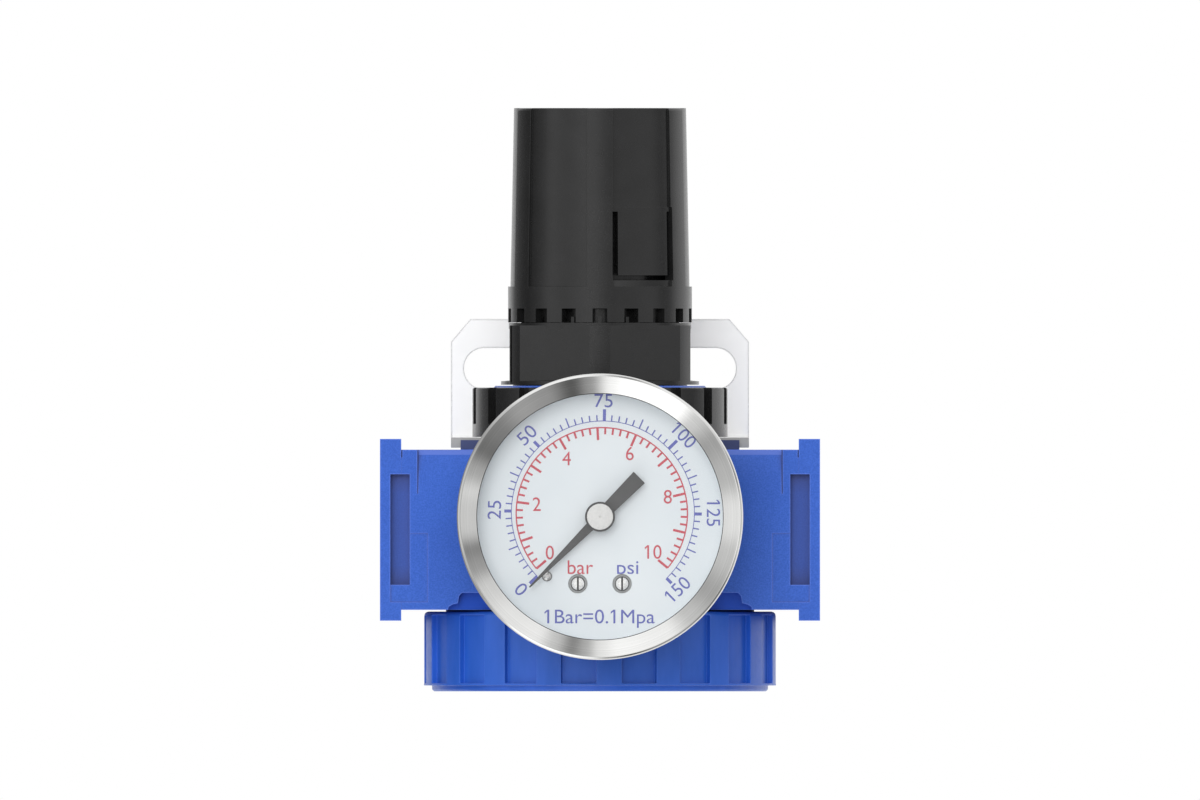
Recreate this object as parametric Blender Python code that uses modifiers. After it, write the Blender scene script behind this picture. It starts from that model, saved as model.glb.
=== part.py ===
"""Air pressure regulator with a push-lock knob, panel bracket and front dial gauge.

The frame: +Z up along the knob axis, the gauge faces -Y, the ports lie on +X and -X.
The origin is the centre of the bottom cap's flat underside.
All sizes below are millimetres; the helpers turn them into metres.
Angles round the knob axis are degrees from the front (-Y), positive towards +X.
"""

import math

import bmesh
import bpy
from mathutils import Matrix, Vector

MM = 0.001
FINE, ROUND, MIDDLE, SLIM, SMALL = 48, 32, 24, 16, 12  # steps of a full turn
NARROW_BEND, WIDE_BEND, ROUND_END = 2, 8, 8  # steps of a bent block and of a half-round end
CORNER_STEPS = 6  # steps of a rounded corner
CUTTER_LEAD = math.radians(3.3)  # turns a cutter's facets off those of the piece it cuts
PAST = 2.0  # how far a cutter reaches past the surface it opens
SINK = 0.5  # how far joined bodies of one piece reach into each other
CHAMFER = 0.3  # the broken edge of most turned pieces
PLAY = 0.12  # the room round a pin in its hole

# Bottom cap
CAP_RADIUS, CAP_GROOVE_RADIUS, CAP_LIP_RADIUS = 26.27, 25.43, 25.07
CAP_TOP, CAP_LIP_HEIGHT, CAP_BORE = 11.91, 0.87, 23.3
CAP_FLOOR, CAP_POST_RADIUS, CAP_POST_TOP = 3.0, 6.0, 6.3
CAP_GROOVE_BOTTOM, CAP_GROOVE_TOP, CAP_CORNER = 1.2, 11.4, 0.45
RIB_COUNT, RIB_WIDTH_DEG, FIRST_RIB_DEG = 18, 8.4, 3.0

# Body
BLOCK_BOTTOM, BLOCK_TOP, BLOCK_HALF_DEPTH = 12.16, 36.07, 20.5
CORE_HALF_WIDTH, COLLAR_HALF_WIDTH, BODY_HALF_WIDTH = 27.12, 29.66, 32.84
FLANGE_BOTTOM, FLANGE_TOP, FLANGE_PROUD = 10.54, 37.67, 0.03
SHOULDER_START, SHOULDER_DROP = 29.5, 1.0  # where the core's face starts to curve back, and by how far
POCKET_INNER, POCKET_OUTER, POCKET_BOTTOM, POCKET_TOP, POCKET_DEPTH = 28.4, 31.3, 15.9, 32.4, 2.0
BOSS_RADIUS, BOSS_BOTTOM, BOSS_TOP = 23.0, 3.9, 12.21
COVE_HALF_WIDTH, COVE_FOOT, COVE_TOP, COVE_DEPTH = 21.2, 22.8, 14.7, 2.2
COVE_FOOT_SLOPE, COVE_FOOT_HEIGHT, COVE_WALL_HEIGHT, COVE_WALL_SLOPE = 0.6, 0.9, 1.2, 0.5
LIP_HALF_WIDTH, LIP_TOP, LIP_FRONT, LIP_BACK, LIP_ROOT = 20.8, 37.5, 19.3, 18.4, 34.0
NECK_RADIUS, NECK_TOP, NECK_BORE = 16.0, 45.6, 13.3
PORT_HEIGHT, PORT_RADIUS, PORT_END = 24.1, 5.9, 17.0
LEDGE, SENSE_RADIUS, SENSE_FLOOR = 35.0, 10.5, 32.8
OUTLET_RADIUS, OUTLET_ROOF = 8.6, 29.8
SEAT_SOCKET_FLOOR, INLET_RADIUS = 23.4, 7.6
GUIDE_SOCKET_RADIUS, GUIDE_SOCKET_TOP = 9.6, 12.0
STEM_HOLE, FEEDBACK_HOLE, FEEDBACK_PLACE = 1.9, 0.9, 6.5
INLET_WAY_RADIUS, INLET_WAY_HEIGHT, OUTLET_WAY_RADIUS, OUTLET_WAY_HEIGHT = 2.9, 20.0, 1.9, 27.7
WAY_START = 5.0  # where the cross drillings start, inside the chambers

# Bracket
SHEET, FLANGE_LOW, BRACKET_HALF_WIDTH = 1.51, 36.37, 22.24
BRACKET_FRONT, PLATE_BACK, PLATE_TOP = 18.1, 27.5, 55.57
BEND_RADIUS, BRACKET_HOLE = 0.6, 16.35
CHAMFER_WIDTH, CHAMFER_HEIGHT = 2.9, 3.4
SLOT_HEIGHT, SLOT_RADIUS, SLOT_OUTER, SLOT_INNER = 48.18, 3.06, 17.24, 11.2

# Ring nut
NUT_RADIUS, NUT_BORE, NUT_BOTTOM, NUT_TOP = 19.04, 16.3, 37.96, 45.34
NOTCH_FLOOR, NOTCH_DEPTH_RADIUS, NOTCH_HALF_DEG = 39.9, 17.7, 3.4
NOTCH_FIRST_DEG, NOTCH_STEP_DEG, NOTCHES_PER_QUARTER = 14.0, 22.0, 4

# Bonnet and its tower
HEX_FLATS, HEX_CLIP_RADIUS, HEX_LOW, HEX_TOP = 27.0, 14.78, 46.3, 54.6
BONNET_FOOT, SPIGOT_RADIUS, SPIGOT_BOTTOM = 45.75, 13.0, 37.0
TOWER_BASE_RADIUS, TOWER_BASE_TOP, TOWER_RADIUS, TOWER_TOP = 10.6, 57.4, 10.1, 72.0
LOWER_BORE, LOWER_BORE_TOP, TOWER_BORE, TOWER_BORE_LOW, TOWER_ROOF = 9.6, 44.0, 8.2, 45.0, 70.2
KEY_GROOVE_RADIUS, KEY_HALF_WIDTH, KEY_GROOVE_LOW, KEY_GROOVE_HIGH = 9.1, 1.5, 57.8, 70.0
SPINDLE_HOLE = 3.05
INDEX_RIB_COUNT, INDEX_RIB_WIDTH, INDEX_RIB_TOP, INDEX_RIB_RADIUS = 18, 0.9, 55.9, 11.95

# Knob
KNOB_BOTTOM, KNOB_TOP, COLLAR_TOP = 55.06, 87.06, 60.42
KNOB_RADIUS, KNOB_TOP_RADIUS = 13.73, 13.2
PANEL_RADIUS, PANEL_TOP_RADIUS, PANEL_COUNT, PANEL_WIDTH_DEG = 13.36, 12.84, 6, 43.0
KNOB_BORE, KNOB_TOP_BORE, KNOB_ROOF = 12.2, 11.5, 84.5
SKIRT_NOTCH_COUNT, SKIRT_NOTCH_DEG, SKIRT_NOTCH_TOP = 18, 9.2, 57.13
TAB_LEFT_DEG, TAB_RIGHT_DEG, TAB_SLOT_LEFT_DEG, TAB_SLOT_RIGHT_DEG = 11.7, 49.0, 7.9, 53.0
TAB_BOTTOM, TAB_SLOT_BOTTOM, TAB_TOP, TAB_INNER = 62.1, 61.35, 71.96, 11.98
TAB_GAP = 0.3
HUB_RADIUS, HUB_BOTTOM, HUB_SOCKET_FLATS = 6.0, 73.9, 7.2

# Adjusting screw, clip, spring seat, main spring, diaphragm
SCREW_RADIUS, SCREW_BOTTOM, SCREW_COLLAR_RADIUS = 2.9, 57.5, 5.2
SCREW_COLLAR_LOW, SCREW_COLLAR_HIGH = 68.6, 69.9
DRIVE_FLATS, DRIVE_LOW, DRIVE_TOP, KNOB_LIFT_ROOM = 6.5, 73.6, 82.0, 1.0
CLIP_LOW, CLIP_HIGH, CLIP_RADIUS, CLIP_BORE, CLIP_GAP_DEG = 72.3, 73.1, 4.6, 2.5, 35.0
CLIP_GROOVE_RADIUS, CLIP_GROOVE_ROOM = 2.3, 0.1
SEAT_NUT_RADIUS, SEAT_NUT_LOW, SEAT_NUT_HIGH, SEAT_NUT_BORE = 7.8, 63.6, 67.4, 3.0
KEY_REACH, KEY_ROOM, KEY_STEP = 8.8, 0.3, 0.4
SPRING_WIRE, SPRING_RADIUS, SPRING_LOW, SPRING_HIGH = 2.0, 6.3, 39.2, 63.4
SPRING_TURNS, SPRING_STEPS, END_TURN_PITCH = 6.5, 11, 1.08
DIAPHRAGM_RADIUS, DIAPHRAGM_LOW, DIAPHRAGM_HIGH = 12.8, 35.3, 36.6
PRESSURE_PLATE_RADIUS, PRESSURE_PLATE_LOW, PRESSURE_PLATE_HIGH = 8.7, 37.0, 38.9
PLATE_BOSS_RADIUS, PLATE_BOSS_TOP = 4.6, 40.7
DISH_RADIUS, DISH_EDGE, DISH_DEPTH = 9.6, 9.9, 0.4
RELIEF_SEAT_RADIUS, RELIEF_SEAT_LOW, RELIEF_SEAT_HIGH, RELIEF_HOLE = 4.6, 34.1, 35.0, 1.0

# Valve
VALVE_SEAT_RADIUS, VALVE_SEAT_LOW, VALVE_SEAT_HIGH, VALVE_SEAT_BORE = 8.3, 23.7, 25.3, 4.2
POPPET_RADIUS, POPPET_LOW, POPPET_HIGH, STEM_RADIUS, STEM_TOP = 6.0, 19.4, 22.0, 1.5, 33.8
POPPET_TAIL_RADIUS, POPPET_TAIL_BOTTOM, STEM_POINT_RADIUS, STEM_POINT = 2.2, 12.6, 1.1, 0.8
POPPET_SEAL_LOW, POPPET_SEAL_HIGH = 22.1, 23.4
GUIDE_BOTTOM, GUIDE_DISC_TOP, GUIDE_TOP = 6.6, 9.6, 17.2
GUIDE_RADIUS, GUIDE_TUBE_RADIUS, GUIDE_BORE, GUIDE_VENT, GUIDE_FLOOR = 9.3, 3.6, 2.5, 1.0, 8.1
VALVE_SPRING_WIRE, VALVE_SPRING_RADIUS, VALVE_SPRING_TURNS, VALVE_SPRING_STEPS = 0.8, 4.7, 5.0, 12
CAP_SEAL_RADIUS, CAP_SEAL_TUBE, CAP_SEAL_SIDES = 20.6, 0.4, 8

# Rear port plug
PLUG_HEAD_RADIUS, PLUG_FACE, PLUG_SOCKET_FLATS, PLUG_SOCKET_DEPTH = 6.9, 23.6, 5.0, 3.0

# Gauge; "out" is the distance from the knob axis towards the viewer
GAUGE_HEIGHT, GAUGE_PORT_RADIUS, GAUGE_PORT_END, GAUGE_WAY_RADIUS = 26.06, 4.9, 11.5, 1.2
SOCKET_THREAD_RADIUS, SOCKET_INNER, SOCKET_FLATS = 4.6, 11.9, 12.0
GAUGE_SEAL_LOW, GAUGE_SEAL_HIGH, GAUGE_SEAL_RADIUS = 20.6, 21.6, 6.5
SOCKET_HEX_LOW, SOCKET_HEX_HIGH, SOCKET_NECK_RADIUS, STEM_WAY_RADIUS = 21.7, 28.2, 4.0, 1.1
CASE_BACK, CASE_FRONT, CASE_RADIUS, CASE_WALL, CASE_HOLE, CASE_CORNER = 28.5, 46.6, 20.4, 0.8, 4.3, 0.8
BLOCK_LOW, BLOCK_HIGH, BLOCK_LEFT, BLOCK_RIGHT, BLOCK_UP = 29.7, 32.9, -4.8, 5.0, 3.0
EAR_LEFT, EAR_DOWN, EAR_UP = -10.5, -14.0, -9.0
POST_RADIUS, POST_TOP, SHANK_END, SCREW_X, SCREW_Y = 1.35, 43.6, 40.5, 3.3, -10.0
TUBE_RING_RADIUS, TUBE_HALF_THICK, TUBE_OUT, TUBE_DEPTH_SCALE = 14.5, 1.15, 35.6, 2.0
TUBE_FROM_DEG, TUBE_SWEEP_DEG = 232.0, 272.0  # from the lower left, clockwise
SECTOR_X, SECTOR_Y, SECTOR_LOW, SECTOR_HIGH, SECTOR_RADIUS = 5.6, -5.7, 36.0, 36.8, 7.05
SECTOR_REST_DEG, SECTOR_HALF_DEG, SECTOR_TEETH, TOOTH_DEPTH = 120.0, 20.0, 13, 0.25
SECTOR_HUB_RADIUS, SECTOR_SPREAD_DEG, TAIL_LENGTH, TAIL_DEG, TAIL_HALF_WIDTH = 1.3, 40.0, 3.4, -45.0, 0.9
ARBOR_RADIUS, ARBOR_LOW, ARBOR_HIGH = 0.55, 33.2, 39.9
PINION_RADIUS, PINION_ROOT, PINION_TEETH, PINION_LOW, PINION_HIGH = 0.8, 0.6, 8, 35.7, 37.1
SPINDLE_RADIUS, SPINDLE_BACK, SPINDLE_FRONT = 0.45, 33.2, 47.0
REAR_PLATE, FRONT_PLATE, PLATE_THICK, PIVOT_HOLE = 33.2, 39.1, 0.7, 0.65
PLATE_LEFT, PLATE_RIGHT, PLATE_DOWN, PLATE_UP = -3.6, 7.9, -8.0, 3.7
PILLAR_RADIUS, PILLAR_TOP, PILLAR_PLACES = 0.8, 38.8, ((6.6, 2.4), (-2.3, -6.7))
LINK_LOW, LINK_HIGH, LINK_PIN_RADIUS, LINK_LENGTH, LINK_DEG = 38.2, 38.7, 0.4, 3.2, -20.0
LINK_HALF_WIDTH, LINK_PIN_LOW, LINK_PIN_HIGH = 0.65, 35.6, 38.6
DIAL_RADIUS, DIAL_LOW, DIAL_HIGH, DIAL_HOLE = 18.9, 43.9, 44.5, 1.2
DIAL_SCREW_HEAD, DIAL_SCREW_SHANK, DIAL_SCREW_TOP, DIAL_SCREW_LOW = 1.0, 0.5, 45.3, 44.55
SLOT_HALF_WIDTH, SLOT_DEPTH = 0.15, 0.35
PIN_X, PIN_Y, PIN_RADIUS, PIN_LOW, PIN_TOP = -7.9, -8.9, 0.33, 43.3, 46.9
POINTER_LOW, POINTER_HIGH, HUB_OUTER, HUB_LOW, HUB_FRONT = 46.1, 46.5, 2.2, 45.9, 47.2
NEEDLE_DEG, NEEDLE_LENGTH, NEEDLE_WIDTH, NEEDLE_TIP, NEEDLE_ROOT = 225.0, 14.9, 1.5, 0.25, 1.0
COUNTER_LENGTH, COUNTER_WIDTH, COUNTER_END = 8.3, 1.9, 2.4
LENS_RADIUS, LENS_LOW, LENS_HIGH = 19.4, 48.3, 49.5
BEZEL_RADIUS, BEZEL_BORE, BEZEL_BACK, BEZEL_FRONT = 21.37, 20.7, 40.5, 51.2
BEZEL_RIM, BEZEL_VIEW_RADIUS, BEZEL_VIEW_OUT, BEZEL_LEDGE, BEZEL_ROUND = 20.85, 18.28, 49.8, 49.7, 0.35

for old in list(bpy.data.objects):
    bpy.data.objects.remove(old, do_unlink=True)

parts = bpy.data.collections.new("air_pressure_regulator")
cutters = bpy.data.collections.new("cutters")
bpy.context.scene.collection.children.link(parts)
bpy.context.scene.collection.children.link(cutters)
cutters.hide_render = True


# ---------- materials ----------

def material(name, color, roughness, metallic=0.0, alpha=1.0):
    made = bpy.data.materials.new(name)
    made.use_nodes = True
    shader = made.node_tree.nodes["Principled BSDF"]
    shader.inputs["Base Color"].default_value = (*color, 1.0)
    shader.inputs["Roughness"].default_value = roughness
    shader.inputs["Metallic"].default_value = metallic
    shader.inputs["Alpha"].default_value = alpha
    return made


CASTING = {"color": (0.055, 0.127, 0.61), "roughness": 0.42}
PLASTIC = {"color": (0.018, 0.018, 0.018), "roughness": 0.42}
STEEL = {"color": (0.62, 0.62, 0.61), "roughness": 0.3, "metallic": 1.0}
BRASS = {"color": (0.60, 0.43, 0.16), "roughness": 0.32, "metallic": 1.0}
ZINC = {"color": (0.86, 0.86, 0.86), "roughness": 0.3, "metallic": 1.0}
RUBBER = {"color": (0.02, 0.02, 0.022), "roughness": 0.6}
PRINTED = {"color": (0.74, 0.79, 0.82), "roughness": 0.5}
NEEDLE = {"color": (0.11, 0.11, 0.11), "roughness": 0.5}
CLEAR = {"color": (1.0, 1.0, 1.0), "roughness": 0.05, "alpha": 0.15}


# ---------- helpers ----------

def place(obj, at, turn):
    obj.location = Vector(at) * MM
    obj.rotation_euler = turn
    return obj


def add(name, mesh, color=None, roughness=0.5, metallic=0.0, at=(0, 0, 0), turn=(0, 0, 0), alpha=1.0):
    """A new object: a part when it has a colour, else a cutter."""
    obj = bpy.data.objects.new(name, mesh)
    if color is None:
        cutters.objects.link(obj)
        obj.hide_render = True
        obj.display_type = "WIRE"
    else:
        parts.objects.link(obj)
        mesh.materials.append(material(name, color, roughness, metallic, alpha))
    return place(obj, at, turn)


def turned(name, profile, steps=ROUND, **look):
    """A profile of (radius, height) points turned round Z, listed down the outer side.

    A profile that starts off the axis is a ring, so it closes on itself.
    """
    mesh = bpy.data.meshes.new(name)
    count = len(profile)
    edges = [(i, i + 1) for i in range(count - 1)]
    if profile[0][0] > 0:
        edges.append((count - 1, 0))
    lead = 0.0 if "color" in look else CUTTER_LEAD
    across, aside = MM * math.cos(lead), MM * math.sin(lead)
    mesh.from_pydata([(r * across, r * aside, height * MM) for r, height in profile], edges, [])
    obj = add(name, mesh, **look)
    screw = obj.modifiers.new("turn", "SCREW")
    screw.angle = math.tau
    screw.steps = steps
    screw.render_steps = steps
    screw.use_merge_vertices = True
    screw.merge_threshold = 1e-6
    screw.use_smooth_shade = False
    return obj


def rod(radius, low, high):
    """The profile of a plain round bar."""
    return [(0, high), (radius, high), (radius, low), (0, low)]


def ring(outer, inner, low, high):
    """The profile of a plain ring."""
    return [(outer, high), (outer, low), (inner, low), (inner, high)]


def mesh_from(bm, name):
    mesh = bpy.data.meshes.new(name)
    bmesh.ops.recalc_face_normals(bm, faces=bm.faces)
    bm.to_mesh(mesh)
    bm.free()
    return mesh


def box_mesh(name, low, high):
    bm = bmesh.new()
    bmesh.ops.create_cube(bm, size=1.0)
    low, high = Vector(low) * MM, Vector(high) * MM
    size = high - low
    bm.transform(Matrix.Translation((low + high) / 2) @ Matrix.Diagonal((*size, 1.0)))
    return mesh_from(bm, name)


def box(name, low, high, **look):
    return add(name, box_mesh(name, low, high), **look)


def bent_block(bm, inner, outer, middle_deg, width_deg, low, high, steps=4):
    """Adds a block bent round the axis; inner and outer are radii at its (bottom, top)."""
    block = bmesh.new()
    bmesh.ops.create_cube(block, size=1.0)
    across = [e for e in block.edges if abs(e.verts[0].co.x - e.verts[1].co.x) > 0.5]
    bmesh.ops.subdivide_edges(block, edges=across, cuts=steps - 1, use_grid_fill=True)
    for vert in block.verts:
        along, depth, rise = vert.co.x, vert.co.y + 0.5, vert.co.z + 0.5
        start = inner[0] + (inner[1] - inner[0]) * rise
        end = outer[0] + (outer[1] - outer[0]) * rise
        radius = end + (start - end) * depth
        angle = math.radians(middle_deg + along * width_deg)
        height = low + (high - low) * rise
        vert.co = Vector((radius * math.sin(angle), -radius * math.cos(angle), height)) * MM
    bmesh.ops.recalc_face_normals(block, faces=block.faces)
    mesh = bpy.data.meshes.new("block")
    block.to_mesh(mesh)
    block.free()
    bm.from_mesh(mesh)
    bpy.data.meshes.remove(mesh)


def bent_blocks(name, places, width_deg, inner, outer, low, high, steps=4, **look):
    """Bent blocks of one size at several angles, as one object."""
    bm = bmesh.new()
    for middle in places:
        bent_block(bm, inner, outer, middle, width_deg, low, high, steps)
    return add(name, mesh_from(bm, name), **look)


def plate_mesh(name, outlines, low, high):
    """A flat piece between two heights: its edge outline first, then its holes."""
    curve = bpy.data.curves.new(name, "CURVE")
    curve.dimensions = "2D"
    curve.fill_mode = "BOTH"
    curve.extrude = (high - low) / 2 * MM
    for outline in outlines:
        spline = curve.splines.new("POLY")
        spline.points.add(len(outline) - 1)
        for point, (x, y) in zip(spline.points, outline):
            point.co = (x * MM, y * MM, 0, 1)
        spline.use_cyclic_u = True
    guide = bpy.data.objects.new(name, curve)
    parts.objects.link(guide)
    bpy.context.view_layer.update()
    graph = bpy.context.evaluated_depsgraph_get()
    mesh = bpy.data.meshes.new_from_object(guide.evaluated_get(graph))
    bpy.data.objects.remove(guide)
    bm = bmesh.new()
    bm.from_mesh(mesh)
    bmesh.ops.remove_doubles(bm, verts=bm.verts, dist=1e-7)
    bmesh.ops.translate(bm, verts=bm.verts, vec=(0, 0, (low + high) / 2 * MM))
    bmesh.ops.recalc_face_normals(bm, faces=bm.faces)
    bm.to_mesh(mesh)
    bm.free()
    mesh.name = name
    return mesh


def plate(name, outlines, low, high, **look):
    return add(name, plate_mesh(name, outlines, low, high), **look)


def arc(x, y, radius, from_deg, to_deg, steps):
    """Points along an arc, ends included."""
    angles = [math.radians(from_deg + (to_deg - from_deg) * i / steps) for i in range(steps + 1)]
    return [(x + radius * math.cos(a), y + radius * math.sin(a)) for a in angles]


def circle(x, y, radius, steps=SMALL):
    return arc(x, y, radius, 0, 360, steps)[:-1]


def polygon(flats, sides=6, turn_deg=0.0):
    """A regular polygon's corners, by its distance across flats."""
    corner = flats / 2 / math.cos(math.pi / sides)
    return [
        (corner * math.cos(a), corner * math.sin(a))
        for a in (math.radians(turn_deg) + math.tau * i / sides for i in range(sides))
    ]


def combine(obj, other, operation="DIFFERENCE"):
    modifier = obj.modifiers.new(operation.lower(), "BOOLEAN")
    modifier.operation = operation
    modifier.object = other
    modifier.solver = "EXACT"


def cut(obj, *others):
    for other in others:
        combine(obj, other)


def join(obj, *others):
    for other in others:
        combine(obj, other, "UNION")


def coil(name, wire, radius, low, high, turns, steps):
    """A compression spring: closed end turns and even turns between them."""
    count = int(turns * steps)
    low_centre, high_centre = low + wire / 2, high - wire / 2
    ends = 1.0 / turns  # one turn at each end lies nearly flat
    curve = bpy.data.curves.new(name, "CURVE")
    curve.dimensions = "3D"
    curve.bevel_depth = wire / 2 * MM
    curve.bevel_resolution = 2
    curve.use_fill_caps = True
    curve.twist_mode = "Z_UP"
    spline = curve.splines.new("POLY")
    spline.points.add(count)
    flat = wire * END_TURN_PITCH / (high_centre - low_centre)
    for i, point in enumerate(spline.points):
        part = i / count
        if part < ends:
            rise = flat * part / ends
        elif part > 1 - ends:
            rise = 1 - flat * (1 - part) / ends
        else:
            rise = flat + (1 - 2 * flat) * (part - ends) / (1 - 2 * ends)
        angle = math.tau * turns * part
        height = low_centre + (high_centre - low_centre) * rise
        point.co = (*(Vector((radius * math.cos(angle), radius * math.sin(angle), height)) * MM), 1)
    return add(name, curve, **STEEL)


FACING = (math.pi / 2, 0, 0)  # turns a piece's own Z towards the viewer and its Y upwards


def on_gauge(x=0.0, y=0.0):
    """Where a gauge piece goes, as its look's placing arguments."""
    return {"at": (x, 0, GAUGE_HEIGHT + y), "turn": FACING}


# ---------- body ----------

SIDEWAYS = (math.pi / 2, 0, math.pi / 2)  # a side view's own (X, Y, Z) become world (Y, Z, X)
REARWARD = {"at": (0, 0, GAUGE_HEIGHT), "turn": (-math.pi / 2, 0, 0)}  # the rear port's placing


def shoulder_cutter(name, facing, from_x, to_x):
    """What lies outside the curved upper part of the core's front (-1) or rear (1) face."""
    rise = BLOCK_TOP - SHOULDER_START
    outline = []
    for i in range(CORNER_STEPS + 1):
        angle = math.pi / 2 * i / CORNER_STEPS
        depth = BLOCK_HALF_DEPTH - SHOULDER_DROP * (1 - math.cos(angle))
        outline.append((facing * depth, SHOULDER_START + rise * math.sin(angle)))
    outline += [
        (facing * (BLOCK_HALF_DEPTH - SHOULDER_DROP), BLOCK_TOP + PAST),
        (facing * (BLOCK_HALF_DEPTH + PAST), BLOCK_TOP + PAST),
        (facing * (BLOCK_HALF_DEPTH + PAST), SHOULDER_START),
    ]
    return plate(name, [outline], from_x, to_x, turn=SIDEWAYS)


def end_flange(sign, side):
    near, far = sorted((sign * COLLAR_HALF_WIDTH, sign * BODY_HALF_WIDTH))
    depth = BLOCK_HALF_DEPTH + FLANGE_PROUD
    return box(f"{side}_end_flange", (near, -depth, FLANGE_BOTTOM), (far, depth, FLANGE_TOP))


def end_cuts(sign, side):
    """The port bore and the clamp pockets of one end."""
    port = turned(
        f"{side}_port_bore",
        rod(PORT_RADIUS, PORT_END, BODY_HALF_WIDTH + PAST),
        MIDDLE,
        at=(0, 0, PORT_HEIGHT),
        turn=(0, sign * math.pi / 2, 0),
    )
    near, far = sorted((sign * POCKET_INNER, sign * POCKET_OUTER))
    found = [port]
    for face, front in (("front", -1), ("rear", 1)):
        back, out = sorted(
            (front * (BLOCK_HALF_DEPTH - POCKET_DEPTH), front * (BLOCK_HALF_DEPTH + PAST))
        )
        found.append(
            box(f"{side}_{face}_pocket", (near, back, POCKET_BOTTOM), (far, out, POCKET_TOP))
        )
    return found


def central_bores():
    """Everything bored from above and below along the knob axis."""
    return turned(
        "central_bores",
        [
            (0, NECK_TOP + PAST),
            (NECK_BORE, NECK_TOP + PAST),
            (NECK_BORE, LEDGE),
            (SENSE_RADIUS, LEDGE),
            (SENSE_RADIUS, SENSE_FLOOR),
            (STEM_HOLE, SENSE_FLOOR),
            (STEM_HOLE, OUTLET_ROOF),
            (OUTLET_RADIUS, OUTLET_ROOF),
            (OUTLET_RADIUS, SEAT_SOCKET_FLOOR),
            (INLET_RADIUS, SEAT_SOCKET_FLOOR),
            (INLET_RADIUS, GUIDE_SOCKET_TOP),
            (GUIDE_SOCKET_RADIUS, GUIDE_SOCKET_TOP),
            (GUIDE_SOCKET_RADIUS, BOSS_BOTTOM - PAST),
            (0, BOSS_BOTTOM - PAST),
        ],
    )


def body_block():
    """The body before it is cut: block, end flanges, bracket lip, neck and boss."""
    half = COLLAR_HALF_WIDTH + PLAY  # reaches just inside the end flanges
    piece = box(
        "body",
        (-half, -BLOCK_HALF_DEPTH, BLOCK_BOTTOM),
        (half, BLOCK_HALF_DEPTH, BLOCK_TOP),
        **CASTING,
    )
    lip = box(
        "bracket_lip",
        (-LIP_HALF_WIDTH, -LIP_FRONT, LIP_ROOT),
        (LIP_HALF_WIDTH, -LIP_BACK, LIP_TOP),
    )
    neck = turned("neck_bar", rod(NECK_RADIUS, SENSE_FLOOR, NECK_TOP), FINE)
    boss = turned("boss_bar", rod(BOSS_RADIUS, BOSS_BOTTOM, BOSS_TOP), FINE)
    join(piece, end_flange(-1, "left"), end_flange(1, "right"), lip, neck, boss)
    return piece


def front_cove():
    """The low recess between the gauge and the cap, with its splayed foot."""
    foot_start = COVE_FOOT - COVE_FOOT_SLOPE
    half = [
        (COVE_FOOT, BLOCK_BOTTOM - SINK),
        (foot_start, BLOCK_BOTTOM + COVE_FOOT_HEIGHT),
        (COVE_HALF_WIDTH, BLOCK_BOTTOM + COVE_WALL_HEIGHT),
        (COVE_HALF_WIDTH - COVE_WALL_SLOPE, COVE_TOP),
    ]
    outline = half + [(-x, y) for x, y in reversed(half)]
    return plate(
        "front_cove",
        [outline],
        BLOCK_HALF_DEPTH - COVE_DEPTH,
        BOSS_RADIUS + PAST,
        turn=FACING,
    )


def cross_bores():
    """The drillings across the knob axis, and the one from the outlet to the diaphragm."""
    sideways = {"steps": SMALL, "at": (0, 0, INLET_WAY_HEIGHT), "turn": (0, -math.pi / 2, 0)}
    inlet = turned("inlet_way", rod(INLET_WAY_RADIUS, WAY_START, PORT_END + SINK), **sideways)
    sideways = {"steps": SMALL, "at": (0, 0, OUTLET_WAY_HEIGHT), "turn": (0, math.pi / 2, 0)}
    outlet = turned("outlet_way", rod(OUTLET_WAY_RADIUS, WAY_START, PORT_END + SINK), **sideways)
    gauge = turned(
        "gauge_bore",
        [
            (0, BLOCK_HALF_DEPTH + PAST),
            (GAUGE_PORT_RADIUS, BLOCK_HALF_DEPTH + PAST),
            (GAUGE_PORT_RADIUS, GAUGE_PORT_END),
            (GAUGE_WAY_RADIUS, GAUGE_PORT_END),
            (GAUGE_WAY_RADIUS, WAY_START),
            (0, WAY_START),
        ],
        SMALL,
        **on_gauge(),
    )
    plug = turned(
        "plug_bore",
        rod(GAUGE_PORT_RADIUS, GAUGE_PORT_END, BLOCK_HALF_DEPTH + PAST),
        SMALL,
        **REARWARD,
    )
    feedback = turned(
        "feedback_hole",
        rod(FEEDBACK_HOLE, OUTLET_ROOF - SINK, SENSE_FLOOR + SINK),
        SMALL,
        at=(FEEDBACK_PLACE, 0, 0),
    )
    return inlet, outlet, gauge, plug, feedback


def body():
    piece = body_block()
    cut(
        piece,
        shoulder_cutter("front_shoulder", -1, -CORE_HALF_WIDTH, CORE_HALF_WIDTH),
        shoulder_cutter("rear_shoulder", 1, -CORE_HALF_WIDTH, CORE_HALF_WIDTH),
        front_cove(),
        *end_cuts(-1, "left"),
        *end_cuts(1, "right"),
        *cross_bores(),
        central_bores(),
    )


# ---------- bottom cap and valve ----------

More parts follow.
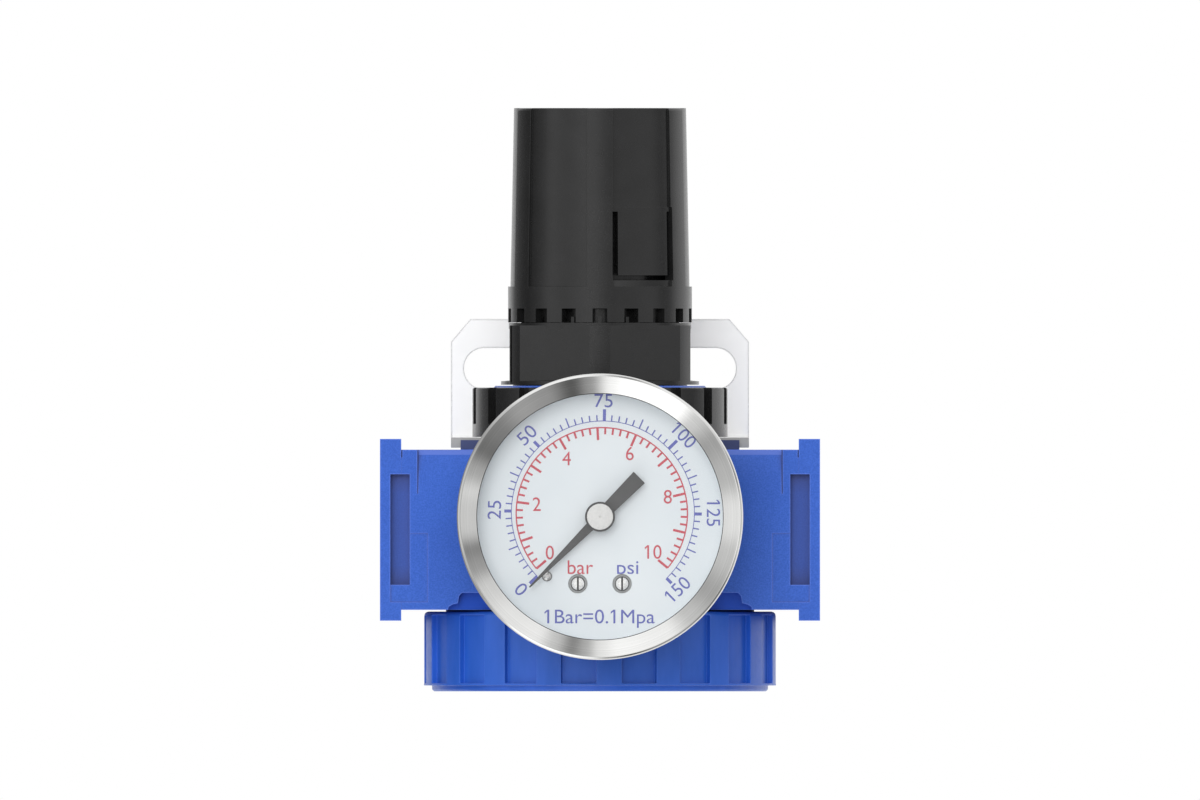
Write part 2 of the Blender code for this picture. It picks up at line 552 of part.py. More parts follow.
def bottom_cap():
    """A cup with ribs round its side; its post holds the valve guide up."""
    piece = turned(
        "bottom_cap",
        [
            (0, CAP_POST_TOP),
            (CAP_POST_RADIUS, CAP_POST_TOP),
            (CAP_POST_RADIUS, CAP_FLOOR),
            (CAP_BORE, CAP_FLOOR),
            (CAP_BORE, CAP_TOP),
            (CAP_RADIUS - CAP_CORNER, CAP_TOP),
            (CAP_RADIUS - CAP_CORNER * 0.3, CAP_TOP - CAP_CORNER * 0.3),
            (CAP_RADIUS, CAP_TOP - CAP_CORNER),
            (CAP_RADIUS, CAP_LIP_HEIGHT),
            (CAP_LIP_RADIUS, CAP_LIP_HEIGHT),
            (CAP_LIP_RADIUS, CHAMFER),
            (CAP_LIP_RADIUS - CHAMFER, 0),
            (0, 0),
        ],
        FINE,
        **CASTING,
    )
    step = 360 / RIB_COUNT
    grooves = bent_blocks(
        "cap_grooves",
        [FIRST_RIB_DEG + step * (i + 0.5) for i in range(RIB_COUNT)],
        step - RIB_WIDTH_DEG,
        (CAP_GROOVE_RADIUS, CAP_GROOVE_RADIUS),
        (CAP_RADIUS + PAST, CAP_RADIUS + PAST),
        CAP_GROOVE_BOTTOM,
        CAP_GROOVE_TOP,
        NARROW_BEND + 1,
    )
    cut(piece, grooves)


def o_ring(name, radius, tube, height, **placing):
    """A rubber ring of round section."""
    turns = [math.tau * i / CAP_SEAL_SIDES for i in range(CAP_SEAL_SIDES)]
    profile = [(radius + tube * math.sin(a), height + tube * math.cos(a)) for a in turns]
    turned(name, profile, MIDDLE, **RUBBER, **placing)


def valve():
    o_ring("cap_seal", CAP_SEAL_RADIUS, CAP_SEAL_TUBE, (BOSS_BOTTOM + CAP_FLOOR) / 2)
    turned(
        "valve_guide",
        [
            (GUIDE_TUBE_RADIUS, GUIDE_TOP),
            (GUIDE_TUBE_RADIUS, GUIDE_DISC_TOP),
            (GUIDE_RADIUS, GUIDE_DISC_TOP),
            (GUIDE_RADIUS, GUIDE_BOTTOM),
            (GUIDE_VENT, GUIDE_BOTTOM),
            (GUIDE_VENT, GUIDE_FLOOR),
            (GUIDE_BORE, GUIDE_FLOOR),
            (GUIDE_BORE, GUIDE_TOP),
        ],
        **BRASS,
    )
    coil(
        "valve_spring",
        VALVE_SPRING_WIRE,
        VALVE_SPRING_RADIUS,
        GUIDE_DISC_TOP + 0.1,
        POPPET_LOW - 0.1,
        VALVE_SPRING_TURNS,
        VALVE_SPRING_STEPS,
    )
    turned(
        "valve_poppet",
        [
            (0, STEM_TOP),
            (STEM_POINT_RADIUS, STEM_TOP),
            (STEM_RADIUS, STEM_TOP - STEM_POINT),
            (STEM_RADIUS, POPPET_HIGH),
            (POPPET_RADIUS, POPPET_HIGH),
            (POPPET_RADIUS, POPPET_LOW),
            (POPPET_TAIL_RADIUS, POPPET_LOW),
            (POPPET_TAIL_RADIUS, POPPET_TAIL_BOTTOM),
            (0, POPPET_TAIL_BOTTOM),
        ],
        MIDDLE,
        **BRASS,
    )
    turned(
        "poppet_seal",
        ring(POPPET_RADIUS - 0.4, STEM_RADIUS + 0.2, POPPET_SEAL_LOW, POPPET_SEAL_HIGH),
        MIDDLE,
        **RUBBER,
    )
    turned(
        "valve_seat",
        ring(VALVE_SEAT_RADIUS, VALVE_SEAT_BORE, VALVE_SEAT_LOW, VALVE_SEAT_HIGH),
        **BRASS,
    )


# ---------- bracket and ring nut ----------

def bracket():
    """An L of sheet steel: its foot lies under the ring nut, its plate stands behind."""
    top = FLANGE_LOW + SHEET
    inner = PLATE_BACK - SHEET
    bend = BEND_RADIUS
    corner_y, corner_z = inner - bend, top + bend
    side = [(-BRACKET_FRONT, FLANGE_LOW)]
    side += arc(corner_y, corner_z, bend + SHEET, -90, 0, CORNER_STEPS)
    side += [(PLATE_BACK, PLATE_TOP), (inner, PLATE_TOP)]
    side += arc(corner_y, corner_z, bend, 0, -90, CORNER_STEPS)
    side += [(-BRACKET_FRONT, top)]
    piece = plate(
        "bracket",
        [side],
        -BRACKET_HALF_WIDTH,
        BRACKET_HALF_WIDTH,
        turn=SIDEWAYS,
        **ZINC,
    )
    hole = turned("bracket_hole", rod(BRACKET_HOLE, FLANGE_LOW - PAST, top + PAST), FINE)
    cut(piece, hole)
    half, roof = BRACKET_HALF_WIDTH, PLATE_TOP
    for name, sign in (("left", -1), ("right", 1)):
        corner = [
            (sign * (half - CHAMFER_WIDTH), roof + PAST),
            (sign * (half - CHAMFER_WIDTH), roof),
            (sign * half, roof - CHAMFER_HEIGHT),
            (sign * (half + PAST), roof - CHAMFER_HEIGHT),
            (sign * (half + PAST), roof + PAST),
        ]
        outer, near = sign * SLOT_OUTER, sign * SLOT_INNER
        out_deg = 90 if sign < 0 else -90
        slot = arc(outer, SLOT_HEIGHT, SLOT_RADIUS, out_deg, out_deg + 180, SMALL)
        slot += arc(near, SLOT_HEIGHT, SLOT_RADIUS, out_deg + 180, out_deg + 360, SMALL)
        depth = (-PLATE_BACK - PAST, -inner + PAST)
        cut(
            piece,
            plate(f"{name}_corner", [corner], *depth, turn=FACING),
            plate(f"{name}_slot", [slot], *depth, turn=FACING),
        )


def ring_nut():
    piece = turned(
        "ring_nut",
        [
            (NUT_RADIUS - CHAMFER, NUT_TOP),
            (NUT_RADIUS, NUT_TOP - CHAMFER),
            (NUT_RADIUS, NUT_BOTTOM),
            (NUT_BORE, NUT_BOTTOM),
            (NUT_BORE, NUT_TOP),
        ],
        FINE,
        **PLASTIC,
    )
    quarter = [NOTCH_FIRST_DEG + NOTCH_STEP_DEG * i for i in range(NOTCHES_PER_QUARTER)]
    places = [sign * angle + turn for angle in quarter for sign in (-1, 1) for turn in (0, 180)]
    notches = bent_blocks(
        "nut_notches",
        places,
        2 * NOTCH_HALF_DEG,
        (NOTCH_DEPTH_RADIUS, NOTCH_DEPTH_RADIUS),
        (NUT_RADIUS + PAST, NUT_RADIUS + PAST),
        NOTCH_FLOOR,
        NUT_TOP + PAST,
        NARROW_BEND,
    )
    cut(piece, notches)


# ---------- bonnet ----------

def clipped_hexagon():
    """The hexagon's outline, a corner towards the viewer, its corners cut by a circle."""
    reach = math.degrees(math.acos(HEX_FLATS / 2 / HEX_CLIP_RADIUS))
    half = 30 - reach
    outline = []
    for i in range(6):
        outline += arc(0, 0, HEX_CLIP_RADIUS, -90 + 60 * i - half, -90 + 60 * i + half, 3)
    return outline


def bonnet():
    piece = turned(
        "bonnet",
        [
            (TOWER_RADIUS - CHAMFER, TOWER_TOP),
            (TOWER_RADIUS, TOWER_TOP - CHAMFER),
            (TOWER_RADIUS, TOWER_BASE_TOP),
            (TOWER_BASE_RADIUS, TOWER_BASE_TOP - CHAMFER),
            (TOWER_BASE_RADIUS, HEX_LOW + SINK),
            (HEX_CLIP_RADIUS - SINK, HEX_LOW + 0.02),
            (HEX_CLIP_RADIUS, HEX_LOW),
            (HEX_CLIP_RADIUS, BONNET_FOOT),
            (SPIGOT_RADIUS, BONNET_FOOT),
            (SPIGOT_RADIUS, SPIGOT_BOTTOM),
            (LOWER_BORE, SPIGOT_BOTTOM),
            (LOWER_BORE, LOWER_BORE_TOP),
            (TOWER_BORE, TOWER_BORE_LOW),
            (TOWER_BORE, TOWER_ROOF),
            (SPINDLE_HOLE, TOWER_ROOF),
            (SPINDLE_HOLE, TOWER_TOP),
        ],
        **PLASTIC,
    )
    hexagon = plate(
        "bonnet_hexagon",
        [clipped_hexagon(), circle(0, 0, TOWER_BASE_RADIUS - SINK, ROUND)],
        HEX_LOW - 0.2,
        HEX_TOP,
    )
    ribs = bent_blocks(
        "index_ribs",
        [360 / INDEX_RIB_COUNT * i for i in range(INDEX_RIB_COUNT)],
        math.degrees(INDEX_RIB_WIDTH / INDEX_RIB_RADIUS),
        (TOWER_BASE_RADIUS - SINK, TOWER_BASE_RADIUS - SINK),
        (INDEX_RIB_RADIUS, INDEX_RIB_RADIUS),
        HEX_TOP - SINK,
        INDEX_RIB_TOP,
        NARROW_BEND,
    )
    join(piece, hexagon, ribs)
    for name, sign in (("left", -1), ("right", 1)):
        near, far = sorted((0, sign * KEY_GROOVE_RADIUS))
        groove = box(
            f"{name}_key_groove",
            (near, -KEY_HALF_WIDTH, KEY_GROOVE_LOW),
            (far, KEY_HALF_WIDTH, KEY_GROOVE_HIGH),
        )
        cut(piece, groove)


# ---------- knob and lock tab ----------

def panel_radius(height):
    """The radius of a sunk panel's floor at a height."""
    part = (height - COLLAR_TOP) / (KNOB_TOP - COLLAR_TOP)
    return PANEL_RADIUS + (PANEL_TOP_RADIUS - PANEL_RADIUS) * part


def knob():
    piece = turned(
        "knob",
        [
            (0, KNOB_TOP),
            (KNOB_TOP_RADIUS - CHAMFER, KNOB_TOP),
            (KNOB_TOP_RADIUS, KNOB_TOP - CHAMFER),
            (KNOB_RADIUS, COLLAR_TOP),
            (KNOB_RADIUS, KNOB_BOTTOM),
            (KNOB_BORE, KNOB_BOTTOM),
            (KNOB_BORE, COLLAR_TOP),
            (KNOB_TOP_BORE, KNOB_ROOF),
            (HUB_RADIUS, KNOB_ROOF),
            (HUB_RADIUS, HUB_BOTTOM),
            (0, HUB_BOTTOM),
        ],
        FINE,
        **PLASTIC,
    )
    step = 360 / PANEL_COUNT
    panels = bent_blocks(
        "knob_panels",
        [step * (i + 0.5) for i in range(PANEL_COUNT)],
        PANEL_WIDTH_DEG,
        (PANEL_RADIUS, panel_radius(KNOB_TOP + PAST)),
        (KNOB_RADIUS + PAST, KNOB_RADIUS + PAST),
        COLLAR_TOP,
        KNOB_TOP + PAST,
        WIDE_BEND,
    )
    step = 360 / SKIRT_NOTCH_COUNT
    notches = bent_blocks(
        "skirt_notches",
        [step * i for i in range(SKIRT_NOTCH_COUNT)],
        SKIRT_NOTCH_DEG,
        (KNOB_BORE - PAST, KNOB_BORE - PAST),
        (KNOB_RADIUS + PAST, KNOB_RADIUS + PAST),
        KNOB_BOTTOM - PAST,
        SKIRT_NOTCH_TOP,
        NARROW_BEND,
    )
    window = bent_blocks(
        "tab_window",
        [(TAB_SLOT_LEFT_DEG + TAB_SLOT_RIGHT_DEG) / 2],
        TAB_SLOT_RIGHT_DEG - TAB_SLOT_LEFT_DEG,
        (KNOB_TOP_BORE - PAST, KNOB_TOP_BORE - PAST),
        (KNOB_RADIUS + PAST, KNOB_RADIUS + PAST),
        TAB_SLOT_BOTTOM,
        TAB_TOP + TAB_GAP,
        WIDE_BEND,
    )
    socket = plate(
        "hub_socket", [polygon(HUB_SOCKET_FLATS)], HUB_BOTTOM - PAST, DRIVE_TOP + KNOB_LIFT_ROOM
    )
    cut(piece, panels, notches, window, socket)


def lock_tab():
    """The sprung tongue in one sunk panel; its origin is its hinge line at the top."""
    middle = (TAB_LEFT_DEG + TAB_RIGHT_DEG) / 2
    piece = bent_blocks(
        "lock_tab",
        [middle],
        TAB_RIGHT_DEG - TAB_LEFT_DEG,
        (TAB_INNER, TAB_INNER),
        (panel_radius(TAB_BOTTOM), panel_radius(TAB_TOP)),
        TAB_BOTTOM,
        TAB_TOP,
        WIDE_BEND,
        **PLASTIC,
    )
    angle = math.radians(middle)
    radius = (TAB_INNER + panel_radius(TAB_TOP)) / 2
    origin = Vector((radius * math.sin(angle), -radius * math.cos(angle), TAB_TOP)) * MM
    piece.data.transform(Matrix.Translation(-origin))
    piece.location = origin


# ---------- adjusting screw, springs and diaphragm ----------

def adjusting_screw():
    piece = turned(
        "adjusting_screw",
        [
            (0, DRIVE_LOW + SINK),
            (SCREW_RADIUS, DRIVE_LOW + SINK),
            (SCREW_RADIUS, CLIP_HIGH + CLIP_GROOVE_ROOM),
            (CLIP_GROOVE_RADIUS, CLIP_HIGH + CLIP_GROOVE_ROOM),
            (CLIP_GROOVE_RADIUS, CLIP_LOW - CLIP_GROOVE_ROOM),
            (SCREW_RADIUS, CLIP_LOW - CLIP_GROOVE_ROOM),
            (SCREW_RADIUS, SCREW_COLLAR_HIGH),
            (SCREW_COLLAR_RADIUS, SCREW_COLLAR_HIGH),
            (SCREW_COLLAR_RADIUS, SCREW_COLLAR_LOW),
            (SCREW_RADIUS, SCREW_COLLAR_LOW),
            (SCREW_RADIUS, SCREW_BOTTOM + CHAMFER),
            (SCREW_RADIUS - CHAMFER, SCREW_BOTTOM),
            (0, SCREW_BOTTOM),
        ],
        MIDDLE,
        **STEEL,
    )
    join(piece, plate("drive_hexagon", [polygon(DRIVE_FLATS)], DRIVE_LOW, DRIVE_TOP))


def retaining_clip():
    outline = arc(0, 0, CLIP_RADIUS, CLIP_GAP_DEG, 360 - CLIP_GAP_DEG, MIDDLE)
    outline += arc(0, 0, CLIP_BORE, 360 - CLIP_GAP_DEG, CLIP_GAP_DEG, SLIM)
    plate("retaining_clip", [outline], CLIP_LOW, CLIP_HIGH, **STEEL)


def spring_seat():
    piece = turned(
        "spring_seat",
        ring(SEAT_NUT_RADIUS, SEAT_NUT_BORE, SEAT_NUT_LOW, SEAT_NUT_HIGH),
        **BRASS,
    )
    keys = box(
        "seat_keys",
        (-KEY_REACH, -KEY_HALF_WIDTH + KEY_ROOM, SEAT_NUT_LOW + KEY_STEP),
        (KEY_REACH, KEY_HALF_WIDTH - KEY_ROOM, SEAT_NUT_HIGH - KEY_STEP),
    )
    middle = turned("seat_middle", rod(SEAT_NUT_BORE, SEAT_NUT_LOW - PAST, SEAT_NUT_HIGH + PAST))
    join(piece, keys)
    cut(piece, middle)


def spring_and_diaphragm():
    coil(
        "main_spring", SPRING_WIRE, SPRING_RADIUS, SPRING_LOW, SPRING_HIGH, SPRING_TURNS, SPRING_STEPS
    )
    turned(
        "pressure_plate",
        [
            (PLATE_BOSS_RADIUS - CHAMFER, PLATE_BOSS_TOP),
            (PLATE_BOSS_RADIUS, PLATE_BOSS_TOP - CHAMFER),
            (PLATE_BOSS_RADIUS, PRESSURE_PLATE_HIGH),
            (PRESSURE_PLATE_RADIUS, PRESSURE_PLATE_HIGH),
            (PRESSURE_PLATE_RADIUS, PRESSURE_PLATE_LOW),
            (RELIEF_HOLE, PRESSURE_PLATE_LOW),
            (RELIEF_HOLE, PLATE_BOSS_TOP),
        ],
        **STEEL,
    )
    turned(
        "diaphragm",
        [
            (DISH_RADIUS, DIAPHRAGM_HIGH - DISH_DEPTH),
            (DISH_EDGE, DIAPHRAGM_HIGH),
            (DIAPHRAGM_RADIUS, DIAPHRAGM_HIGH),
            (DIAPHRAGM_RADIUS, DIAPHRAGM_LOW),
            (RELIEF_HOLE, DIAPHRAGM_LOW),
            (RELIEF_HOLE, DIAPHRAGM_HIGH - DISH_DEPTH),
        ],
        **RUBBER,
    )
    turned(
        "relief_seat",
        ring(RELIEF_SEAT_RADIUS, RELIEF_HOLE, RELIEF_SEAT_LOW, RELIEF_SEAT_HIGH),
        MIDDLE,
        **BRASS,
    )


def rear_plug():
    """The plug that closes the spare gauge port at the rear."""
    piece = turned(
        "rear_port_plug",
        [
            (0, PLUG_FACE),
            (PLUG_HEAD_RADIUS - CHAMFER, PLUG_FACE),
            (PLUG_HEAD_RADIUS, PLUG_FACE - CHAMFER),
            (PLUG_HEAD_RADIUS, SOCKET_HEX_LOW),
            (SOCKET_THREAD_RADIUS, SOCKET_HEX_LOW),
            (SOCKET_THREAD_RADIUS, SOCKET_INNER),
            (0, SOCKET_INNER),
        ],
        MIDDLE,
        **BRASS,
        **REARWARD,
    )
    low, high = PLUG_FACE - PLUG_SOCKET_DEPTH, PLUG_FACE + PAST
    cut(piece, plate("plug_key", [polygon(PLUG_SOCKET_FLATS)], low, high, **REARWARD))
    turned(
        "plug_seal",
        ring(GAUGE_SEAL_RADIUS, GAUGE_PORT_RADIUS, GAUGE_SEAL_LOW, GAUGE_SEAL_HIGH),
        MIDDLE,
        **RUBBER,
        **REARWARD,
    )


# ---------- gauge ----------

def gauge_socket():
    """The brass stem: thread, wrench hexagon, neck and the block that carries the movement."""
    piece = turned(
        "gauge_socket",
        [
            (0, BLOCK_LOW + SINK),
            (SOCKET_NECK_RADIUS, BLOCK_LOW + SINK),
            (SOCKET_NECK_RADIUS, SOCKET_HEX_LOW + SINK),
            (SOCKET_THREAD_RADIUS, SOCKET_HEX_LOW + SINK),
            (SOCKET_THREAD_RADIUS, SOCKET_INNER),
            (0, SOCKET_INNER),
        ],
        MIDDLE,
        **BRASS,
        **on_gauge(),
    )
    wrench = plate(
        "socket_hexagon", [polygon(SOCKET_FLATS)], SOCKET_HEX_LOW, SOCKET_HEX_HIGH, **on_gauge()
    )
    step = [
        (EAR_LEFT, EAR_DOWN),
        (BLOCK_RIGHT, EAR_DOWN),
        (BLOCK_RIGHT, BLOCK_UP),
        (BLOCK_LEFT, BLOCK_UP),
        (BLOCK_LEFT, EAR_UP),
        (EAR_LEFT, EAR_UP),
    ]
    block = plate("socket_block", [step], BLOCK_LOW, BLOCK_HIGH, **on_gauge())
    join(piece, wrench, block)
    for name, sign in (("left", -1), ("right", 1)):
        spot = on_gauge(sign * SCREW_X, SCREW_Y)
        join(piece, turned(f"{name}_post", rod(POST_RADIUS, BLOCK_HIGH - SINK, POST_TOP), SLIM, **spot))
        hole = rod(DIAL_SCREW_SHANK + PLAY, SHANK_END - SINK, POST_TOP + PAST)
        cut(piece, turned(f"{name}_post_hole", hole, SMALL, **spot))
    way = rod(STEM_WAY_RADIUS, SOCKET_INNER - PAST, BLOCK_LOW - STEM_WAY_RADIUS)
    cut(piece, turned("stem_way", way, SMALL, **on_gauge()))


def gauge_shell():
    turned(
        "gauge_seal",
        ring(GAUGE_SEAL_RADIUS, GAUGE_PORT_RADIUS, GAUGE_SEAL_LOW, GAUGE_SEAL_HIGH),
        MIDDLE,
        **RUBBER,
        **on_gauge(),
    )
    turned(
        "gauge_case",
        [
            (CASE_RADIUS, CASE_FRONT),
            (CASE_RADIUS, CASE_BACK + CASE_CORNER),
            (CASE_RADIUS - CASE_CORNER, CASE_BACK),
            (CASE_HOLE, CASE_BACK),
            (CASE_HOLE, CASE_BACK + CASE_WALL),
            (CASE_RADIUS - CASE_CORNER - CASE_WALL / 2, CASE_BACK + CASE_WALL),
            (CASE_RADIUS - CASE_WALL, CASE_BACK + CASE_WALL + CHAMFER),
            (CASE_RADIUS - CASE_WALL, CASE_FRONT),
        ],
        FINE,
        **PLASTIC,
        **on_gauge(),
    )
    turned(
        "gauge_bezel",
        [
            (BEZEL_RIM, BEZEL_FRONT),
            (BEZEL_RADIUS - BEZEL_ROUND * 0.3, BEZEL_FRONT - BEZEL_ROUND * 0.3),
            (BEZEL_RADIUS, BEZEL_FRONT - BEZEL_ROUND),
            (BEZEL_RADIUS, BEZEL_BACK),
            (BEZEL_BORE, BEZEL_BACK),
            (BEZEL_BORE, BEZEL_LEDGE),
            (BEZEL_VIEW_RADIUS, BEZEL_LEDGE),
            (BEZEL_VIEW_RADIUS, BEZEL_VIEW_OUT),
        ],
        FINE,
        **STEEL,
        **on_gauge(),
    )
    turned(
        "gauge_lens",
        rod(LENS_RADIUS, LENS_LOW, LENS_HIGH),
        FINE,
        **CLEAR,
        **on_gauge(),
    )


def gauge_dial():
    holes = [circle(0, 0, DIAL_HOLE)]
    holes += [circle(sign * SCREW_X, SCREW_Y, DIAL_SCREW_SHANK + PLAY) for sign in (-1, 1)]
    holes += [circle(PIN_X, PIN_Y, PIN_RADIUS + PLAY)]
    plate(
        "gauge_dial",
        [circle(0, 0, DIAL_RADIUS, FINE)] + holes,
        DIAL_LOW,
        DIAL_HIGH,
        **PRINTED,
        **on_gauge(),
    )
    for name, sign in (("left", -1), ("right", 1)):
        spot = on_gauge(sign * SCREW_X, SCREW_Y)
        screw = turned(
            f"dial_screw_{name}",
            [
                (0, DIAL_SCREW_TOP),
                (DIAL_SCREW_HEAD - CHAMFER, DIAL_SCREW_TOP),
                (DIAL_SCREW_HEAD, DIAL_SCREW_TOP - CHAMFER),
                (DIAL_SCREW_HEAD, DIAL_SCREW_LOW),
                (DIAL_SCREW_SHANK, DIAL_SCREW_LOW),
                (DIAL_SCREW_SHANK, SHANK_END),
                (0, SHANK_END),
            ],
            SMALL,
            **STEEL,
            **spot,
        )
        slot = box(
            f"{name}_screw_slot",
            (-SLOT_HALF_WIDTH, -PAST, DIAL_SCREW_TOP - SLOT_DEPTH),
            (SLOT_HALF_WIDTH, PAST, DIAL_SCREW_TOP + PAST),
            **spot,
        )
        cut(screw, slot)
    turned(
        "stop_pin",
        rod(PIN_RADIUS, PIN_LOW, PIN_TOP),
        SMALL,
        **STEEL,
        **on_gauge(PIN_X, PIN_Y),
    )


def pointer():
    """Needle, counterweight and hub, on the spindle with its pinion."""
    shape = [
        (NEEDLE_LENGTH, NEEDLE_TIP / 2),
        (NEEDLE_ROOT, NEEDLE_WIDTH / 2),
        (-NEEDLE_ROOT, COUNTER_WIDTH / 2),
        (-COUNTER_LENGTH, COUNTER_END / 2),
    ]
    shape += [(along, -across) for along, across in reversed(shape)]
    turn = math.radians(NEEDLE_DEG)
    outline = [
        (x * math.cos(turn) - y * math.sin(turn), x * math.sin(turn) + y * math.cos(turn))
        for x, y in reversed(shape)
    ]
    piece = plate(
        "pointer",
        [outline],
        POINTER_LOW,
        POINTER_HIGH,
        **NEEDLE,
        **on_gauge(),
    )
    hub = turned("pointer_hub", rod(HUB_OUTER, HUB_LOW, HUB_FRONT), MIDDLE, **on_gauge())
    bore = rod(SPINDLE_RADIUS + PLAY / 2, HUB_LOW - PAST, HUB_FRONT + PAST)
    join(piece, hub)
    cut(piece, turned("pointer_bore", bore, SMALL, **on_gauge()))
    spindle = turned(
        "pointer_spindle",
        rod(SPINDLE_RADIUS, SPINDLE_BACK, SPINDLE_FRONT),
        SMALL,
        **STEEL,
        **on_gauge(),
    )
    join(spindle, plate("pinion_teeth", [pinion_outline()], PINION_LOW, PINION_HIGH, **on_gauge()))


def toothed(from_deg, step_deg, count, tip, root):
    """The outline of some gear teeth: a short arc at each tip and at each root."""
    outline = []
    for i in range(count):
        start = from_deg + step_deg * i
        outline += arc(0, 0, tip, start + step_deg * 0.1, start + step_deg * 0.4, 1)
        outline += arc(0, 0, root, start + step_deg * 0.6, start + step_deg * 0.9, 1)
    return outline


def pinion_outline():
    step = 360 / PINION_TEETH
    return toothed(-step / 4, step, PINION_TEETH, PINION_RADIUS, PINION_ROOT)


def bourdon_tube():
    """The bent flat tube: an open ring of oval section."""
    curve = bpy.data.curves.new("bourdon_tube", "CURVE")
    curve.dimensions = "3D"
    curve.bevel_depth = TUBE_HALF_THICK * MM
    curve.bevel_resolution = 2
    curve.use_fill_caps = True
    spline = curve.splines.new("POLY")
    places = arc(0, 0, TUBE_RING_RADIUS, TUBE_FROM_DEG, TUBE_FROM_DEG - TUBE_SWEEP_DEG, MIDDLE)
    spline.points.add(len(places) - 1)
    for point, (x, y) in zip(spline.points, places):
        point.co = (x * MM, y * MM, 0, 1)
    tube = add("bourdon_tube", curve, **BRASS, at=(0, -TUBE_OUT, GAUGE_HEIGHT), turn=FACING)
    tube.scale = (1, 1, TUBE_DEPTH_SCALE)


def movement_plates():
    """The two plates that carry the pivots, and the pillars between them."""
    outline = [
        (PLATE_LEFT, PLATE_DOWN),
        (PLATE_RIGHT, PLATE_DOWN),
        (PLATE_RIGHT, PLATE_UP),
        (PLATE_LEFT, PLATE_UP),
    ]
    outlines = [outline, circle(0, 0, PIVOT_HOLE), circle(SECTOR_X, SECTOR_Y, PIVOT_HOLE)]
    made = {}
    for name, low in (("rear", REAR_PLATE), ("front", FRONT_PLATE)):
        made[name] = plate(
            f"movement_{name}_plate", outlines, low, low + PLATE_THICK, **BRASS, **on_gauge()
        )
    pillar = rod(PILLAR_RADIUS, REAR_PLATE + PLATE_THICK / 2, PILLAR_TOP)
    for i, (x, y) in enumerate(PILLAR_PLACES):
        join(made["rear"], turned(f"pillar_{i}", pillar, SLIM, **on_gauge(x, y)))


def round_ended(length, lie_deg, half_width):
    """The outline of a flat bar from its pivot to its far end, both ends round."""
    lie = math.radians(lie_deg)
    far = (length * math.cos(lie), length * math.sin(lie))
    outline = arc(*far, half_width, lie_deg - 90, lie_deg + 90, ROUND_END)
    return outline + arc(0, 0, half_width, lie_deg + 90, lie_deg + 270, ROUND_END)


def tail_end():
    """Where the sector's tail ends: the link's pin."""
    lie = math.radians(TAIL_DEG)
    return SECTOR_X + TAIL_LENGTH * math.cos(lie), SECTOR_Y + TAIL_LENGTH * math.sin(lie)


def sector_gear():
    """A toothed sector on its arbor, with a tail for the link; its origin is its pivot."""
    spread = SECTOR_SPREAD_DEG
    fan = arc(0, 0, SECTOR_HUB_RADIUS, SECTOR_REST_DEG + spread, SECTOR_REST_DEG + 360 - spread, SLIM)
    start, step = SECTOR_REST_DEG - SECTOR_HALF_DEG, 2 * SECTOR_HALF_DEG / SECTOR_TEETH
    fan += toothed(start, step, SECTOR_TEETH, SECTOR_RADIUS, SECTOR_RADIUS - TOOTH_DEPTH)
    spot = on_gauge(SECTOR_X, SECTOR_Y)
    piece = plate("sector_gear", [fan], SECTOR_LOW, SECTOR_HIGH, **BRASS, **spot)
    tail = round_ended(TAIL_LENGTH, TAIL_DEG, TAIL_HALF_WIDTH)
    join(
        piece,
        plate("sector_tail", [tail], SECTOR_LOW + 0.05, SECTOR_HIGH - 0.05, **spot),
        turned("sector_arbor", rod(ARBOR_RADIUS, ARBOR_LOW, ARBOR_HIGH), SLIM, **spot),
    )
    hole = rod(LINK_PIN_RADIUS + PLAY, SECTOR_LOW - PAST, SECTOR_HIGH + PAST)
    cut(piece, turned("tail_hole", hole, SMALL, **on_gauge(*tail_end())))


def link():
    """The link from the sector's tail to the tube's tip; its origin is its pin."""
    spot = on_gauge(*tail_end())
    outline = round_ended(LINK_LENGTH, LINK_DEG, LINK_HALF_WIDTH)
    piece = plate("movement_link", [outline], LINK_LOW, LINK_HIGH, **BRASS, **spot)
    join(piece, turned("link_pin", rod(LINK_PIN_RADIUS, LINK_PIN_LOW, LINK_PIN_HIGH), SLIM, **spot))


body()
bottom_cap()
valve()
bracket()
ring_nut()
bonnet()
knob()
lock_tab()
adjusting_screw()
retaining_clip()
spring_seat()
spring_and_diaphragm()
rear_plug()
gauge_socket()
gauge_shell()
gauge_dial()
pointer()
bourdon_tube()
movement_plates()
sector_gear()
link()
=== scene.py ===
"""The looks of an air pressure regulator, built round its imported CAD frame.

Sizes below are millimetres unless a name says otherwise. Angles round the knob axis are
degrees from the front (-Y), positive towards +X. On the gauge, X is right, Y is up and
"out" is the distance from the knob axis towards the viewer.
"""

import math

import bmesh
import bpy
from mathutils import Matrix, Vector


